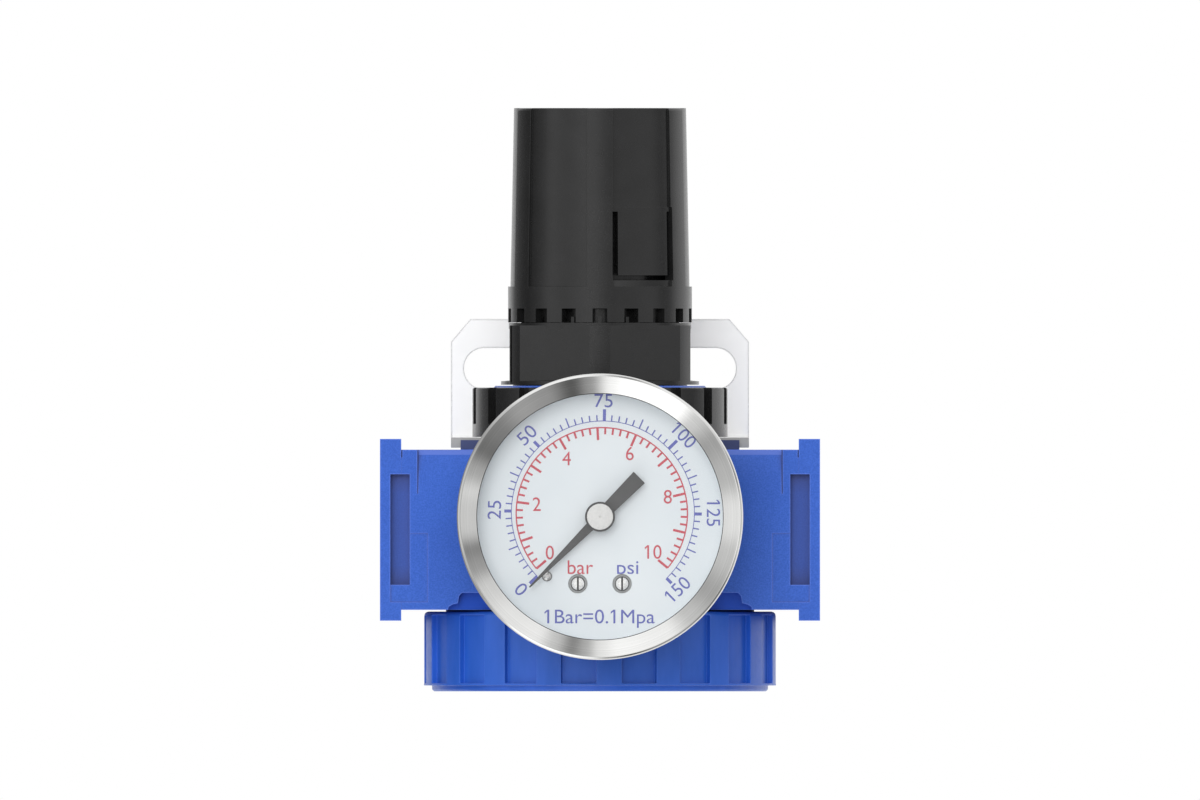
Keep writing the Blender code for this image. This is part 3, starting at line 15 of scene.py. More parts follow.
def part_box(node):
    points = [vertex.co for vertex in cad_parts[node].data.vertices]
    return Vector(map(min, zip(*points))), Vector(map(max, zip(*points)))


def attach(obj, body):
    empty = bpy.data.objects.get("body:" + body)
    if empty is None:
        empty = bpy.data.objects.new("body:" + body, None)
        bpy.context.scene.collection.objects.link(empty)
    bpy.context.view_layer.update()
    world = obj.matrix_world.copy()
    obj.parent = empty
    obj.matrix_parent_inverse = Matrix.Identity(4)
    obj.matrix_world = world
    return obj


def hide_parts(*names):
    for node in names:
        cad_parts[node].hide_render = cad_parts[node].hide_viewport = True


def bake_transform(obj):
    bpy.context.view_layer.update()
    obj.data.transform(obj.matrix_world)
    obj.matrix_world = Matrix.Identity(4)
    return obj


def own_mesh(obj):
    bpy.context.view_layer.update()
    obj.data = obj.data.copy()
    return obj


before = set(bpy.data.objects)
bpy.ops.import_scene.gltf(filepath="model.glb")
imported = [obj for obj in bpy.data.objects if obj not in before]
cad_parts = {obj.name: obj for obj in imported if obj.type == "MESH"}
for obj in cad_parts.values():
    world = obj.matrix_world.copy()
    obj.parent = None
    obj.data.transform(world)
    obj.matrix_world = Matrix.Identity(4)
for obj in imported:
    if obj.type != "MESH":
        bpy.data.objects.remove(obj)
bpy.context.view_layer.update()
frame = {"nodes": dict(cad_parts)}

MM = 0.001
TURN = 160          # steps of a full turn on the large round pieces
SMALL_TURN = 40     # steps of a full turn on the small ones
FACING = Matrix.Rotation(math.pi / 2, 4, "X")                     # a piece's own Z faces the viewer
REARWARD = Matrix.Rotation(-math.pi / 2, 4, "X")
SIDEWAYS = Matrix(((0, 0, 1, 0), (1, 0, 0, 0), (0, 1, 0, 0), (0, 0, 0, 1)))  # own X, Y, Z to Y, Z, X


def extent(node):
    """A CAD node's lowest and highest corner, in millimetres."""
    low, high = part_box(node)
    return low / MM, high / MM


# ---------- driving dimensions, from the frame ----------

BODY_LOW, BODY_HIGH = extent("body")
CAP_LOW, CAP_HIGH = extent("bottom_cap")
BRACKET_LOW, BRACKET_HIGH = extent("bracket")
NUT_LOW, NUT_HIGH = extent("ring_nut")
BONNET_LOW, BONNET_HIGH = extent("bonnet")
KNOB_LOW, KNOB_HIGH = extent("knob")
TAB_LOW, TAB_HIGH = extent("lock_tab")
BEZEL_LOW, BEZEL_HIGH = extent("gauge_bezel")
CASE_LOW, CASE_HIGH = extent("gauge_case")
DIAL_LOW, DIAL_HIGH = extent("gauge_dial")
LENS_LOW, LENS_HIGH = extent("gauge_lens")
POINTER_LOW, POINTER_HIGH = extent("pointer")
GAUGE_HEIGHT = (BEZEL_LOW.z + BEZEL_HIGH.z) / 2
DIAL_RADIUS, DIAL_BACK, DIAL_FRONT = DIAL_HIGH.x, -DIAL_HIGH.y, -DIAL_LOW.y
DIAL_SCREW_X, DIAL_SCREW_TOP, SCREW_SLOT = 3.3, 45.3, 0.14
ON_GAUGE = Matrix.Translation((0, 0, GAUGE_HEIGHT * MM)) @ FACING


# ---------- shapes ----------

def new_object(name, mesh, matrix=None):
    obj = bpy.data.objects.new(name, mesh)
    bpy.context.scene.collection.objects.link(obj)
    if matrix is not None:
        mesh.transform(matrix)
    return obj


def mesh_from(bm, name):
    bmesh.ops.recalc_face_normals(bm, faces=bm.faces)
    mesh = bpy.data.meshes.new(name)
    bm.to_mesh(mesh)
    bm.free()
    return mesh


def turned(name, profile, steps=TURN, matrix=None):
    """A profile of (radius, height) points turned round Z. One that starts off the axis is a ring."""
    bm = bmesh.new()
    verts = [bm.verts.new((radius * MM, 0, height * MM)) for radius, height in profile]
    edges = [bm.edges.new(pair) for pair in zip(verts, verts[1:])]
    if profile[0][0] > 0:
        edges.append(bm.edges.new((verts[-1], verts[0])))
    bmesh.ops.spin(
        bm, geom=verts + edges, axis=(0, 0, 1), cent=(0, 0, 0), angle=math.tau, steps=steps,
        use_merge=True,
    )
    bmesh.ops.remove_doubles(bm, verts=bm.verts, dist=2e-7)
    return new_object(name, mesh_from(bm, name), matrix)


def rod(radius, low, high):
    return [(0, high), (radius, high), (radius, low), (0, low)]


def ring(outer, inner, low, high, edge=0.0):
    """A ring's profile, its four edges chamfered when edge is given."""
    if not edge:
        return [(outer, high), (outer, low), (inner, low), (inner, high)]
    return [
        (outer - edge, high), (outer, high - edge), (outer, low + edge), (outer - edge, low),
        (inner + edge, low), (inner, low + edge), (inner, high - edge), (inner + edge, high),
    ]


def arc(x, y, radius, from_deg, to_deg, steps):
    angles = [math.radians(from_deg + (to_deg - from_deg) * i / steps) for i in range(steps + 1)]
    return [(x + radius * math.cos(a), y + radius * math.sin(a)) for a in angles]


def circle(x, y, radius, steps=SMALL_TURN):
    return arc(x, y, radius, 0, 360, steps)[:-1]


def polygon(flats, sides=6, turn_deg=0.0):
    corner = flats / 2 / math.cos(math.pi / sides)
    turn = math.radians(turn_deg)
    angles = [turn + math.tau * i / sides for i in range(sides)]
    return [(corner * math.cos(a), corner * math.sin(a)) for a in angles]


def box(name, low, high, matrix=None):
    bm = bmesh.new()
    bmesh.ops.create_cube(bm, size=1.0)
    low, high = Vector(low) * MM, Vector(high) * MM
    bm.transform(Matrix.Translation((low + high) / 2) @ Matrix.Diagonal((*(high - low), 1.0)))
    return new_object(name, mesh_from(bm, name), matrix)


def plate(name, outlines, low, high, matrix=None):
    """A flat piece between two heights: its edge outline first, then its holes."""
    curve = bpy.data.curves.new(name, "CURVE")
    curve.dimensions = "2D"
    curve.fill_mode = "BOTH"
    curve.extrude = (high - low) / 2 * MM
    for outline in outlines:
        spline = curve.splines.new("POLY")
        spline.points.add(len(outline) - 1)
        for point, (x, y) in zip(spline.points, outline):
            point.co = (x * MM, y * MM, 0, 1)
        spline.use_cyclic_u = True
    mesh = mesh_of_curve(curve, 1e-7)
    mesh.transform(Matrix.Translation((0, 0, (low + high) / 2 * MM)))
    mesh.name = name
    return new_object(name, mesh, matrix)


def mesh_of_curve(curve, weld):
    """The evaluated, welded mesh of a curve or text."""
    guide = bpy.data.objects.new("guide", curve)
    bpy.context.scene.collection.objects.link(guide)
    bpy.context.view_layer.update()
    graph = bpy.context.evaluated_depsgraph_get()
    mesh = bpy.data.meshes.new_from_object(guide.evaluated_get(graph))
    bpy.data.objects.remove(guide)
    bm = bmesh.new()
    bm.from_mesh(mesh)
    bmesh.ops.remove_doubles(bm, verts=bm.verts, dist=weld)
    bmesh.ops.recalc_face_normals(bm, faces=bm.faces)
    bm.to_mesh(mesh)
    bm.free()
    return mesh


def bent_blocks(name, places, width_deg, inner, outer, low, high, steps=8, matrix=None):
    """Blocks bent round the axis at several angles; inner and outer are (bottom, top) radii."""
    bm = bmesh.new()
    for middle in places:
        block = bmesh.new()
        bmesh.ops.create_cube(block, size=1.0)
        across = [e for e in block.edges if abs(e.verts[0].co.x - e.verts[1].co.x) > 0.5]
        bmesh.ops.subdivide_edges(block, edges=across, cuts=steps - 1, use_grid_fill=True)
        for vert in block.verts:
            along, depth, rise = vert.co.x, vert.co.y + 0.5, vert.co.z + 0.5
            start = inner[0] + (inner[1] - inner[0]) * rise
            end = outer[0] + (outer[1] - outer[0]) * rise
            radius = end + (start - end) * depth
            angle = math.radians(middle + along * width_deg)
            place = (radius * math.sin(angle), -radius * math.cos(angle), low + (high - low) * rise)
            vert.co = Vector(place) * MM
        bmesh.ops.recalc_face_normals(block, faces=block.faces)
        mesh = bpy.data.meshes.new("block")
        block.to_mesh(mesh)
        block.free()
        bm.from_mesh(mesh)
        bpy.data.meshes.remove(mesh)
    return new_object(name, mesh_from(bm, name), matrix)


def combine(obj, others, operation):
    for other in others:
        modifier = obj.modifiers.new("shape", "BOOLEAN")
        modifier.operation = operation
        modifier.object = other
        modifier.solver = "EXACT"
    settle(obj)
    for other in others:
        bpy.data.objects.remove(other)
    return obj


def cut(obj, *others):
    return combine(obj, others, "DIFFERENCE")


def join(obj, *others):
    return combine(obj, others, "UNION")


def settle(obj):
    """Replaces the object's mesh with its evaluated one."""
    bpy.context.view_layer.update()
    graph = bpy.context.evaluated_depsgraph_get()
    mesh = bpy.data.meshes.new_from_object(obj.evaluated_get(graph))
    obj.modifiers.clear()
    obj.data = mesh


def soften(obj, width, segments=2, angle_deg=30.0, keep_sharp=None):
    """Rounds the edges sharper than an angle, but not those whose middle keep_sharp picks."""
    bm = bmesh.new()
    bm.from_mesh(obj.data)
    bmesh.ops.remove_doubles(bm, verts=bm.verts, dist=2e-6)
    bmesh.ops.dissolve_degenerate(bm, edges=bm.edges, dist=1e-6)
    weight = bm.edges.layers.float.new("bevel_weight_edge")
    for edge in bm.edges:
        sharp = len(edge.link_faces) == 2 and edge.calc_face_angle() > math.radians(angle_deg)
        middle = (edge.verts[0].co + edge.verts[1].co) / 2 / MM
        edge[weight] = float(sharp and not (keep_sharp and keep_sharp(middle)))
    bm.to_mesh(obj.data)
    bm.free()
    bevel = obj.modifiers.new("soft_edges", "BEVEL")
    bevel.width = width * MM
    bevel.segments = segments
    bevel.limit_method = "WEIGHT"
    bevel.miter_outer = "MITER_ARC"
    settle(obj)
    shade(obj, angle_deg)
    even_out(obj)


def shade(obj, angle_deg=30.0):
    obj.data.shade_smooth()
    obj.data.set_sharp_from_angle(angle=math.radians(angle_deg))


def even_out(obj):
    """Keeps flat faces flat in the shading, so only the rounded edges between them turn."""
    weights = obj.modifiers.new("flat_faces", "WEIGHTED_NORMAL")
    weights.keep_sharp = True
    weights.weight = 100
    settle(obj)


def piece(obj, material, body, *nodes, slot=None):
    """Gives a finished piece its material and its body, and hides the CAD nodes it stands for."""
    obj.data.materials.clear()
    obj.data.materials.append(material)
    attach(obj, body)
    if nodes:
        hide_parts(*nodes)
    return obj


# ---------- materials ----------

class Nodes:
    """A short way to write a node material."""

    def __init__(self, name):
        self.material = bpy.data.materials.new(name)
        self.material.use_nodes = True
        self.tree = self.material.node_tree
        self.shader = self.tree.nodes["Principled BSDF"]
        coords = self.tree.nodes.new("ShaderNodeTexCoord")
        self.place = coords.outputs["Object"]

    def link(self, out, into):
        self.tree.links.new(out, into)

    def set(self, **values):
        for key, value in values.items():
            self.shader.inputs[key.replace("_", " ")].default_value = value

    def stretched(self, scale):
        mapping = self.tree.nodes.new("ShaderNodeMapping")
        mapping.inputs["Scale"].default_value = scale
        self.link(self.place, mapping.inputs["Vector"])
        return mapping.outputs["Vector"]

    def noise(self, size_mm, detail=3.0, vector=None, rough=0.6):
        """A noise whose blobs are about size_mm across."""
        noise = self.tree.nodes.new("ShaderNodeTexNoise")
        noise.inputs["Scale"].default_value = 1.0 / (size_mm * MM)
        noise.inputs["Detail"].default_value = detail
        noise.inputs["Roughness"].default_value = rough
        self.link(vector or self.place, noise.inputs["Vector"])
        return noise.outputs["Fac"]

    def ramp(self, fac, low, high, colors):
        ramp = self.tree.nodes.new("ShaderNodeValToRGB")
        ramp.color_ramp.elements[0].position = low
        ramp.color_ramp.elements[1].position = high
        ramp.color_ramp.elements[0].color = (*colors[0], 1)
        ramp.color_ramp.elements[1].color = (*colors[1], 1)
        self.link(fac, ramp.inputs["Fac"])
        return ramp.outputs["Color"]

    def range(self, fac, low, high, from_low=0.3, from_high=0.7):
        remap = self.tree.nodes.new("ShaderNodeMapRange")
        remap.inputs["From Min"].default_value = from_low
        remap.inputs["From Max"].default_value = from_high
        remap.inputs["To Min"].default_value = low
        remap.inputs["To Max"].default_value = high
        self.link(fac, remap.inputs["Value"])
        return remap.outputs["Result"]

    def bump(self, height, depth_mm, strength=1.0, below=None):
        bump = self.tree.nodes.new("ShaderNodeBump")
        bump.inputs["Distance"].default_value = depth_mm * MM
        bump.inputs["Strength"].default_value = strength
        self.link(height, bump.inputs["Height"])
        if below is not None:
            self.link(below, bump.inputs["Normal"])
        return bump.outputs["Normal"]

    def mix(self, fac, first, second, kind="MIX"):
        mix = self.tree.nodes.new("ShaderNodeMix")
        mix.data_type = "RGBA"
        mix.blend_type = kind
        for value, socket in ((fac, mix.inputs["Factor"]), (first, mix.inputs["A"]), (second, mix.inputs["B"])):
            if hasattr(value, "is_output"):
                self.link(value, socket)
            else:
                socket.default_value = value if isinstance(value, float) else (*value, 1)
        return mix.outputs["Result"]

    def zone(self, low, high):
        """1 between two corners in space, 0 elsewhere."""
        split = self.tree.nodes.new("ShaderNodeSeparateXYZ")
        self.link(self.place, split.inputs[0])
        found = None
        for axis, start, end in zip(split.outputs, low, high):
            inside = self.tree.nodes.new("ShaderNodeMath")
            inside.operation = "COMPARE"
            inside.inputs[1].default_value = (start + end) / 2 * MM
            inside.inputs[2].default_value = (end - start) / 2 * MM
            self.link(axis, inside.inputs[0])
            if found is None:
                found = inside.outputs[0]
                continue
            both = self.tree.nodes.new("ShaderNodeMath")
            both.operation = "MULTIPLY"
            self.link(found, both.inputs[0])
            self.link(inside.outputs[0], both.inputs[1])
            found = both.outputs[0]
        return found

    def hollow(self, reach_mm=2.5):
        """1 deep in a recess, 0 in the open: the mask for painted shade in recesses."""
        shelter = self.tree.nodes.new("ShaderNodeAmbientOcclusion")
        shelter.samples = 6
        shelter.inputs["Distance"].default_value = reach_mm * MM
        return self.range(shelter.outputs["AO"], 1.0, 0.0, 0.35, 0.95)

    def edge_wear(self, radius_mm=0.35):
        """1 on rounded edges, 0 elsewhere, from how far a rounded normal leaves the true one: the mask for
        painted highlight and painted shade along edges.
        """
        bevel = self.tree.nodes.new("ShaderNodeBevel")
        bevel.samples = 4
        bevel.inputs["Radius"].default_value = radius_mm * MM
        geometry = self.tree.nodes.new("ShaderNodeNewGeometry")
        dot = self.tree.nodes.new("ShaderNodeVectorMath")
        dot.operation = "DOT_PRODUCT"
        self.link(bevel.outputs["Normal"], dot.inputs[0])
        self.link(geometry.outputs["True Normal"], dot.inputs[1])
        return self.range(dot.outputs["Value"], 1.0, 0.0, 0.75, 0.99)


def finish_color(n, color):
    n.link(color, n.shader.inputs["Base Color"])


# Painted light, two corners and a colour each: painted shade on the lip under the ring nut, painted shade on the
# cove's floor under the gauge, and a painted highlight along the front's rounded top edge
CASTING_PAINTED_LIGHT = (
    ((-21, -19.4, 36.1), (21, -17, 37.6), (0.041, 0.056, 0.155)),
    ((-23, -18.5, 12.2), (23, -18.1, 14.75), (0.001, 0.070, 0.53)),
    ((-27.1, -21, 35.3), (27.1, -18, 36.1), (0.090, 0.170, 0.62)),
)


def blue_casting():
    """Blue powder coat on a casting: fine speckle, orange-peel bump, painted highlight on its edges, painted
    shade in its recesses, and painted shade and highlight in set zones.
    """
    n = Nodes("blue_casting")
    speckle = n.noise(0.22, 2.0)
    cloud = n.noise(9.0, 2.0)
    base = n.ramp(speckle, 0.36, 0.66, ((0.023, 0.101, 0.50), (0.037, 0.132, 0.61)))
    shade_ = n.ramp(cloud, 0.3, 0.7, ((0.93, 0.94, 0.96), (1.04, 1.03, 1.02)))
    color = n.mix(1.0, base, shade_, "MULTIPLY")
    # Painted highlight: the rounded edges made paler blue
    color = n.mix(n.edge_wear(), color, (0.12, 0.22, 0.78))
    # Painted shade: recesses such as the clamp pockets darkened and greyed
    color = n.mix(n.hollow(3.0), color, (0.050, 0.078, 0.28))
    # Lays the zones of painted shade and painted highlight over the colour
    for low, high, painted_tone in CASTING_PAINTED_LIGHT:
        color = n.mix(n.zone(low, high), color, painted_tone)
    finish_color(n, color)
    n.link(n.range(speckle, 0.50, 0.38), n.shader.inputs["Roughness"])
    grain = n.bump(n.noise(0.30, 3.0), 0.018, 0.7)
    n.link(n.bump(n.noise(1.6, 2.0), 0.012, 0.6, grain), n.shader.inputs["Normal"])
    n.set(IOR=1.5)
    return n.material


def blue_plastic():
    """Moulded blue nylon: smoother and deeper than the casting, with faint flow lines and painted highlight on
    its edges.
    """
    n = Nodes("blue_plastic")
    flow = n.noise(3.0, 3.0, n.stretched((1.0, 1.0, 0.25)))
    color = n.ramp(flow, 0.3, 0.7, ((0.016, 0.106, 0.54), (0.028, 0.128, 0.62)))
    # Painted highlight: the rounded edges made paler blue
    color = n.mix(n.edge_wear(0.25), color, (0.10, 0.22, 0.80))
    finish_color(n, color)
    n.link(n.range(n.noise(0.8, 3.0), 0.30, 0.42), n.shader.inputs["Roughness"])
    n.link(n.bump(n.noise(0.18, 2.0), 0.005, 0.5), n.shader.inputs["Normal"])
    return n.material


def black_plastic(name="black_plastic", value=0.0125, rough=(0.20, 0.28), edge=1.7):
    """Moulded black acetal: satin, fine texture, with painted light on its edges: painted highlight where the
    edge factor is above 1, painted shade where it is below.
    """
    n = Nodes(name)
    patch = n.noise(4.0, 3.0)
    low, high = value * 0.85, value * 1.15
    color = n.ramp(patch, 0.3, 0.7, ((low, low, low), (high, high, high * 1.02)))
    # Paints the rounded edges by the edge factor: lighter as painted highlight, darker as painted shade
    color = n.mix(n.edge_wear(0.2), color, (value * edge,) * 3)
    finish_color(n, color)
    n.link(n.range(n.noise(0.5, 3.0), *rough), n.shader.inputs["Roughness"])
    n.link(n.bump(n.noise(0.14, 2.0), 0.004, 0.5), n.shader.inputs["Normal"])
    return n.material


def zinc_steel():
    """Bright zinc-plated sheet: rolling lines, faint cloudy spangle and painted shade on its rounded edges."""
    n = Nodes("zinc_steel")
    lines = n.noise(0.30, 3.0, n.stretched((0.04, 1.0, 1.0)))
    cloud = n.noise(6.0, 3.0)
    plain = n.ramp(cloud, 0.3, 0.7, ((0.95, 0.95, 0.95), (0.985, 0.985, 0.98)))
    # Painted shade: the rounded edges darkened to grey
    plain = n.mix(n.edge_wear(0.45), plain, (0.16, 0.16, 0.16))
    cut_edge = n.zone((-30, -19, 36.3), (30, -17.8, 37.95))
    finish_color(n, n.mix(cut_edge, plain, (0.34, 0.34, 0.34)))
    n.link(n.range(lines, 0.30, 0.42), n.shader.inputs["Roughness"])
    n.link(n.bump(lines, 0.004, 0.4), n.shader.inputs["Normal"])
    n.set(Metallic=0.12)
    return n.material


def polished_steel():
    """A turned bezel: concentric tool marks, so its shine fans out round the ring."""
    n = Nodes("polished_steel")
    split = n.tree.nodes.new("ShaderNodeSeparateXYZ")
    n.link(n.place, split.inputs[0])
    height = n.tree.nodes.new("ShaderNodeMath")
    height.operation = "SUBTRACT"
    height.inputs[1].default_value = GAUGE_HEIGHT * MM
    n.link(split.outputs["Z"], height.inputs[0])
    flat = n.tree.nodes.new("ShaderNodeCombineXYZ")
    n.link(split.outputs["X"], flat.inputs["X"])
    n.link(height.outputs[0], flat.inputs["Y"])
    length = n.tree.nodes.new("ShaderNodeVectorMath")
    length.operation = "LENGTH"
    n.link(flat.outputs[0], length.inputs[0])
    line = n.tree.nodes.new("ShaderNodeCombineXYZ")
    n.link(length.outputs["Value"], line.inputs["X"])
    n.link(split.outputs["Y"], line.inputs["Y"])
    marks = n.noise(0.12, 3.0, line.outputs[0])
    finish_color(n, n.ramp(marks, 0.3, 0.7, ((0.70, 0.70, 0.69), (0.78, 0.78, 0.77))))
    n.link(n.range(marks, 0.07, 0.12), n.shader.inputs["Roughness"])
    n.link(n.bump(marks, 0.0002, 0.3), n.shader.inputs["Normal"])
    n.set(Metallic=1.0)
    return n.material


def machined(name, color, rough=(0.22, 0.36)):
    """Machined metal with fine tool marks and slight tarnish."""
    n = Nodes(name)
    marks = n.noise(0.2, 3.0, n.stretched((1.0, 1.0, 0.3)))
    stain = n.noise(2.5, 3.0)
    dark = tuple(c * 0.82 for c in color)
    finish_color(n, n.ramp(stain, 0.3, 0.72, (dark, color)))
    n.link(n.range(marks, *rough), n.shader.inputs["Roughness"])
    n.link(n.bump(marks, 0.003, 0.4), n.shader.inputs["Normal"])
    n.set(Metallic=1.0)
    return n.material


def rubber():
    n = Nodes("rubber")
    patch = n.noise(1.2, 3.0)
    finish_color(n, n.ramp(patch, 0.3, 0.7, ((0.014, 0.014, 0.015), (0.026, 0.026, 0.027))))
    n.link(n.range(patch, 0.52, 0.70), n.shader.inputs["Roughness"])
    n.link(n.bump(n.noise(0.1, 2.0), 0.004, 0.6), n.shader.inputs["Normal"])
    return n.material


def dial_face():
    """Pale printed sheet with fine paper grain and faint cloud."""
    n = Nodes("dial_face")
    paper = n.noise(0.25, 2.0)
    cloud = n.noise(12.0, 2.0)
    base = n.ramp(cloud, 0.25, 0.75, ((0.655, 0.705, 0.735), (0.715, 0.755, 0.778)))
    tone = n.ramp(paper, 0.2, 0.8, ((0.985, 0.985, 0.985), (1.01, 1.01, 1.01)))
    color = n.mix(1.0, base, tone, "MULTIPLY")
    # Painted shade: the screw dishes darkened to grey
    dishes = n.zone((-10, -DIAL_FRONT + 0.1, GAUGE_HEIGHT - 12), (10, -40, GAUGE_HEIGHT - 8))
    finish_color(n, n.mix(dishes, color, (0.30, 0.31, 0.31)))
    n.link(n.range(paper, 0.5, 0.6), n.shader.inputs["Roughness"])
    n.link(n.bump(paper, 0.001, 0.3), n.shader.inputs["Normal"])
    return n.material


def ink(name, color):
    n = Nodes(name)
    patch = n.noise(0.3, 2.0)
    pale = tuple(min(1.0, c * 1.12 + 0.01) for c in color)
    finish_color(n, n.ramp(patch, 0.3, 0.7, (color, pale)))
    n.link(n.range(patch, 0.45, 0.58), n.shader.inputs["Roughness"])
    n.link(n.bump(patch, 0.001, 0.3), n.shader.inputs["Normal"])
    return n.material


def screw_silver():
    """Bright nickel screw heads, with painted shade down in their slots."""
    n = Nodes("screw_silver")
    marks = n.noise(0.1, 3.0)
    color = n.ramp(marks, 0.3, 0.7, ((0.80, 0.80, 0.79), (0.90, 0.90, 0.89)))
    for x in (-DIAL_SCREW_X, DIAL_SCREW_X):
        # Painted shade: each slot darkened nearly to black
        slot = n.zone(
            (x - SCREW_SLOT, -DIAL_SCREW_TOP + 0.15, GAUGE_HEIGHT - 12),
            (x + SCREW_SLOT, -40, GAUGE_HEIGHT - 8))
        color = n.mix(slot, color, (0.02, 0.02, 0.02))
    finish_color(n, color)
    n.link(n.range(marks, 0.22, 0.34), n.shader.inputs["Roughness"])
    n.link(n.bump(marks, 0.002, 0.3), n.shader.inputs["Normal"])
    n.set(Metallic=0.35)
    return n.material


def clear_lens():
    """Clear cover: mostly see-through, with a faint sheen and hairline scratches."""
    n = Nodes("clear_lens")
    finish_color(n, n.ramp(n.noise(3.0), 0.3, 0.7, ((0.96, 0.97, 0.98), (1, 1, 1))))
    scratch = n.noise(0.5, 4.0, n.stretched((0.1, 1.0, 1.0)))
    n.link(n.range(scratch, 0.02, 0.06), n.shader.inputs["Roughness"])
    n.link(n.bump(scratch, 0.0005, 0.1), n.shader.inputs["Normal"])
    n.set(Alpha=0.03, IOR=1.45)
    return n.material


BLUE_CASTING, BLUE_PLASTIC = blue_casting(), blue_plastic()
# BLACK and CASE_BLACK get painted highlight on their edges; NEEDLE_GREY gets painted shade on its edges
BLACK, CASE_BLACK = black_plastic(), black_plastic("case_black", 0.014, (0.3, 0.45))
NEEDLE_GREY = black_plastic("needle_grey", 0.046, (0.5, 0.65), 0.2)
ZINC, POLISHED = zinc_steel(), polished_steel()
SPRING_STEEL, SILVER = machined("spring_steel", (0.50, 0.50, 0.50)), machined("silver", (0.74, 0.74, 0.73))
BRASS = machined("brass", (0.62, 0.44, 0.17))
RUBBER, DIAL_FACE, LENS = rubber(), dial_face(), clear_lens()
# DARK_LINE also serves as painted shadow: the thin rings at the lens's edge and round the dial screws
HUB_SILVER, DARK_LINE = ink("hub_white", (0.565, 0.565, 0.555)), ink("dark_line", (0.018, 0.018, 0.020))
BLUE_INK, RED_INK = ink("blue_ink", (0.090, 0.104, 0.38)), ink("red_ink", (0.47, 0.052, 0.078))
SCREW_SILVER = screw_silver()


# ---------- body ----------

BLOCK_BOTTOM, BLOCK_TOP, BLOCK_HALF_DEPTH = 12.16, 36.07, 20.5
CORE_HALF_WIDTH, COLLAR_HALF_WIDTH, BODY_HALF_WIDTH = 27.12, 29.66, BODY_HIGH.x
FLANGE_BOTTOM, FLANGE_TOP = 10.54, 37.67
SHOULDER_START, SHOULDER_DROP = 29.5, 1.0
POCKET_INNER, POCKET_OUTER, POCKET_BOTTOM, POCKET_TOP, POCKET_DEPTH = 28.4, 31.3, 15.9, 32.4, 2.0
PANEL_INNER, PANEL_BOTTOM, PANEL_ROOF, PANEL_SINK = 25.7, 13.3, 23.6, 0.12
NOTCH_BOTTOM, NOTCH_WIDTH, SEAM_WIDTH, SEAM_DEPTH = 34.9, 0.16, 0.15, 0.3
BOSS_RADIUS, BOSS_BOTTOM = 23.0, BODY_LOW.z
COVE_HALF_WIDTH, COVE_FOOT, COVE_TOP, COVE_DEPTH = 21.2, 22.8, 14.7, 2.2
LIP_HALF_WIDTH, LIP_TOP, LIP_FRONT, LIP_BACK, LIP_ROOT = 20.8, 37.5, 19.3, 18.4, 34.0
NECK_RADIUS, NECK_TOP, NECK_BORE, NECK_THREAD_PITCH, THREAD_DEPTH = 16.0, BODY_HIGH.z, 13.3, 1.5, 0.45
PORT_HEIGHT, PORT_RADIUS, PORT_END, PORT_THREAD_PITCH = 24.1, 5.9, 17.0, 1.34
GAUGE_PORT_RADIUS, GAUGE_PORT_END = 4.9, 11.5


def thread_profile(radius, low, high, pitch, depth):
    """Points of a threaded wall from high down to low, its crests at radius."""
    points = []
    height = high - pitch / 2
    while height - pitch / 2 > low:
        points += [(radius, height + pitch * 0.42), (radius - depth, height)]
        height -= pitch
    points.append((radius, height + pitch * 0.42))
    return points


def shoulder_cutter(facing, from_x, to_x):
    """What lies outside the curved upper part of the core's front (-1) or rear (1) face."""
    steps = 16
    rise = BLOCK_TOP - SHOULDER_START
    outline = []
    for i in range(steps + 1):
        angle = math.pi / 2 * i / steps
        depth = BLOCK_HALF_DEPTH - SHOULDER_DROP * (1 - math.cos(angle))
        outline.append((facing * depth, SHOULDER_START + rise * math.sin(angle)))
    outline += [
        (facing * (BLOCK_HALF_DEPTH - SHOULDER_DROP), BLOCK_TOP + 1),
        (facing * (BLOCK_HALF_DEPTH + 1), BLOCK_TOP + 1),
        (facing * (BLOCK_HALF_DEPTH + 1), SHOULDER_START),
    ]
    return plate("shoulder", [outline], from_x, to_x, SIDEWAYS)


def mirrored_box(sign, near, far, y_low, y_high, z_low, z_high):
    x_low, x_high = sorted((sign * near, sign * far))
    return box("block", (x_low, y_low, z_low), (x_high, y_high, z_high))


def body_end_cuts(sign):
    """The threaded port, the clamp pockets and the faint cast panel of one end."""
    wall = thread_profile(PORT_RADIUS, PORT_END + 2, BODY_HALF_WIDTH - 1.2, PORT_THREAD_PITCH, 0.5)
    mouth = [(0, BODY_HALF_WIDTH + 5), (PORT_RADIUS + 0.5, BODY_HALF_WIDTH + 5)]
    mouth += [(PORT_RADIUS + 0.5, BODY_HALF_WIDTH - 0.5)]
    to_side = Matrix.Translation((0, 0, PORT_HEIGHT * MM)) @ Matrix.Rotation(sign * math.pi / 2, 4, "Y")
    found = [turned("port", mouth + wall + [(PORT_RADIUS, PORT_END), (0, PORT_END)], 64, to_side)]
    front = -BLOCK_HALF_DEPTH
    for face in (-1, 1):
        y_low, y_high = sorted((face * (BLOCK_HALF_DEPTH - POCKET_DEPTH), face * (BLOCK_HALF_DEPTH + 5)))
        found.append(mirrored_box(
            sign, POCKET_INNER, POCKET_OUTER, y_low, y_high, POCKET_BOTTOM, POCKET_TOP))
        y_low, y_high = sorted((face * (BLOCK_HALF_DEPTH - 1.0), face * (BLOCK_HALF_DEPTH + 5)))
        found.append(mirrored_box(
            sign, COLLAR_HALF_WIDTH - NOTCH_WIDTH, COLLAR_HALF_WIDTH, y_low, y_high,
            NOTCH_BOTTOM, BLOCK_TOP + 0.5))
    found.append(mirrored_box(
        sign, CORE_HALF_WIDTH, CORE_HALF_WIDTH + SEAM_WIDTH, front - 1, front + SEAM_DEPTH,
        SHOULDER_START, BLOCK_TOP + 0.5))
    found.append(mirrored_box(
        sign, PANEL_INNER, POCKET_OUTER - 0.01, front - 1, front + PANEL_SINK, PANEL_BOTTOM, PANEL_ROOF))
    return found


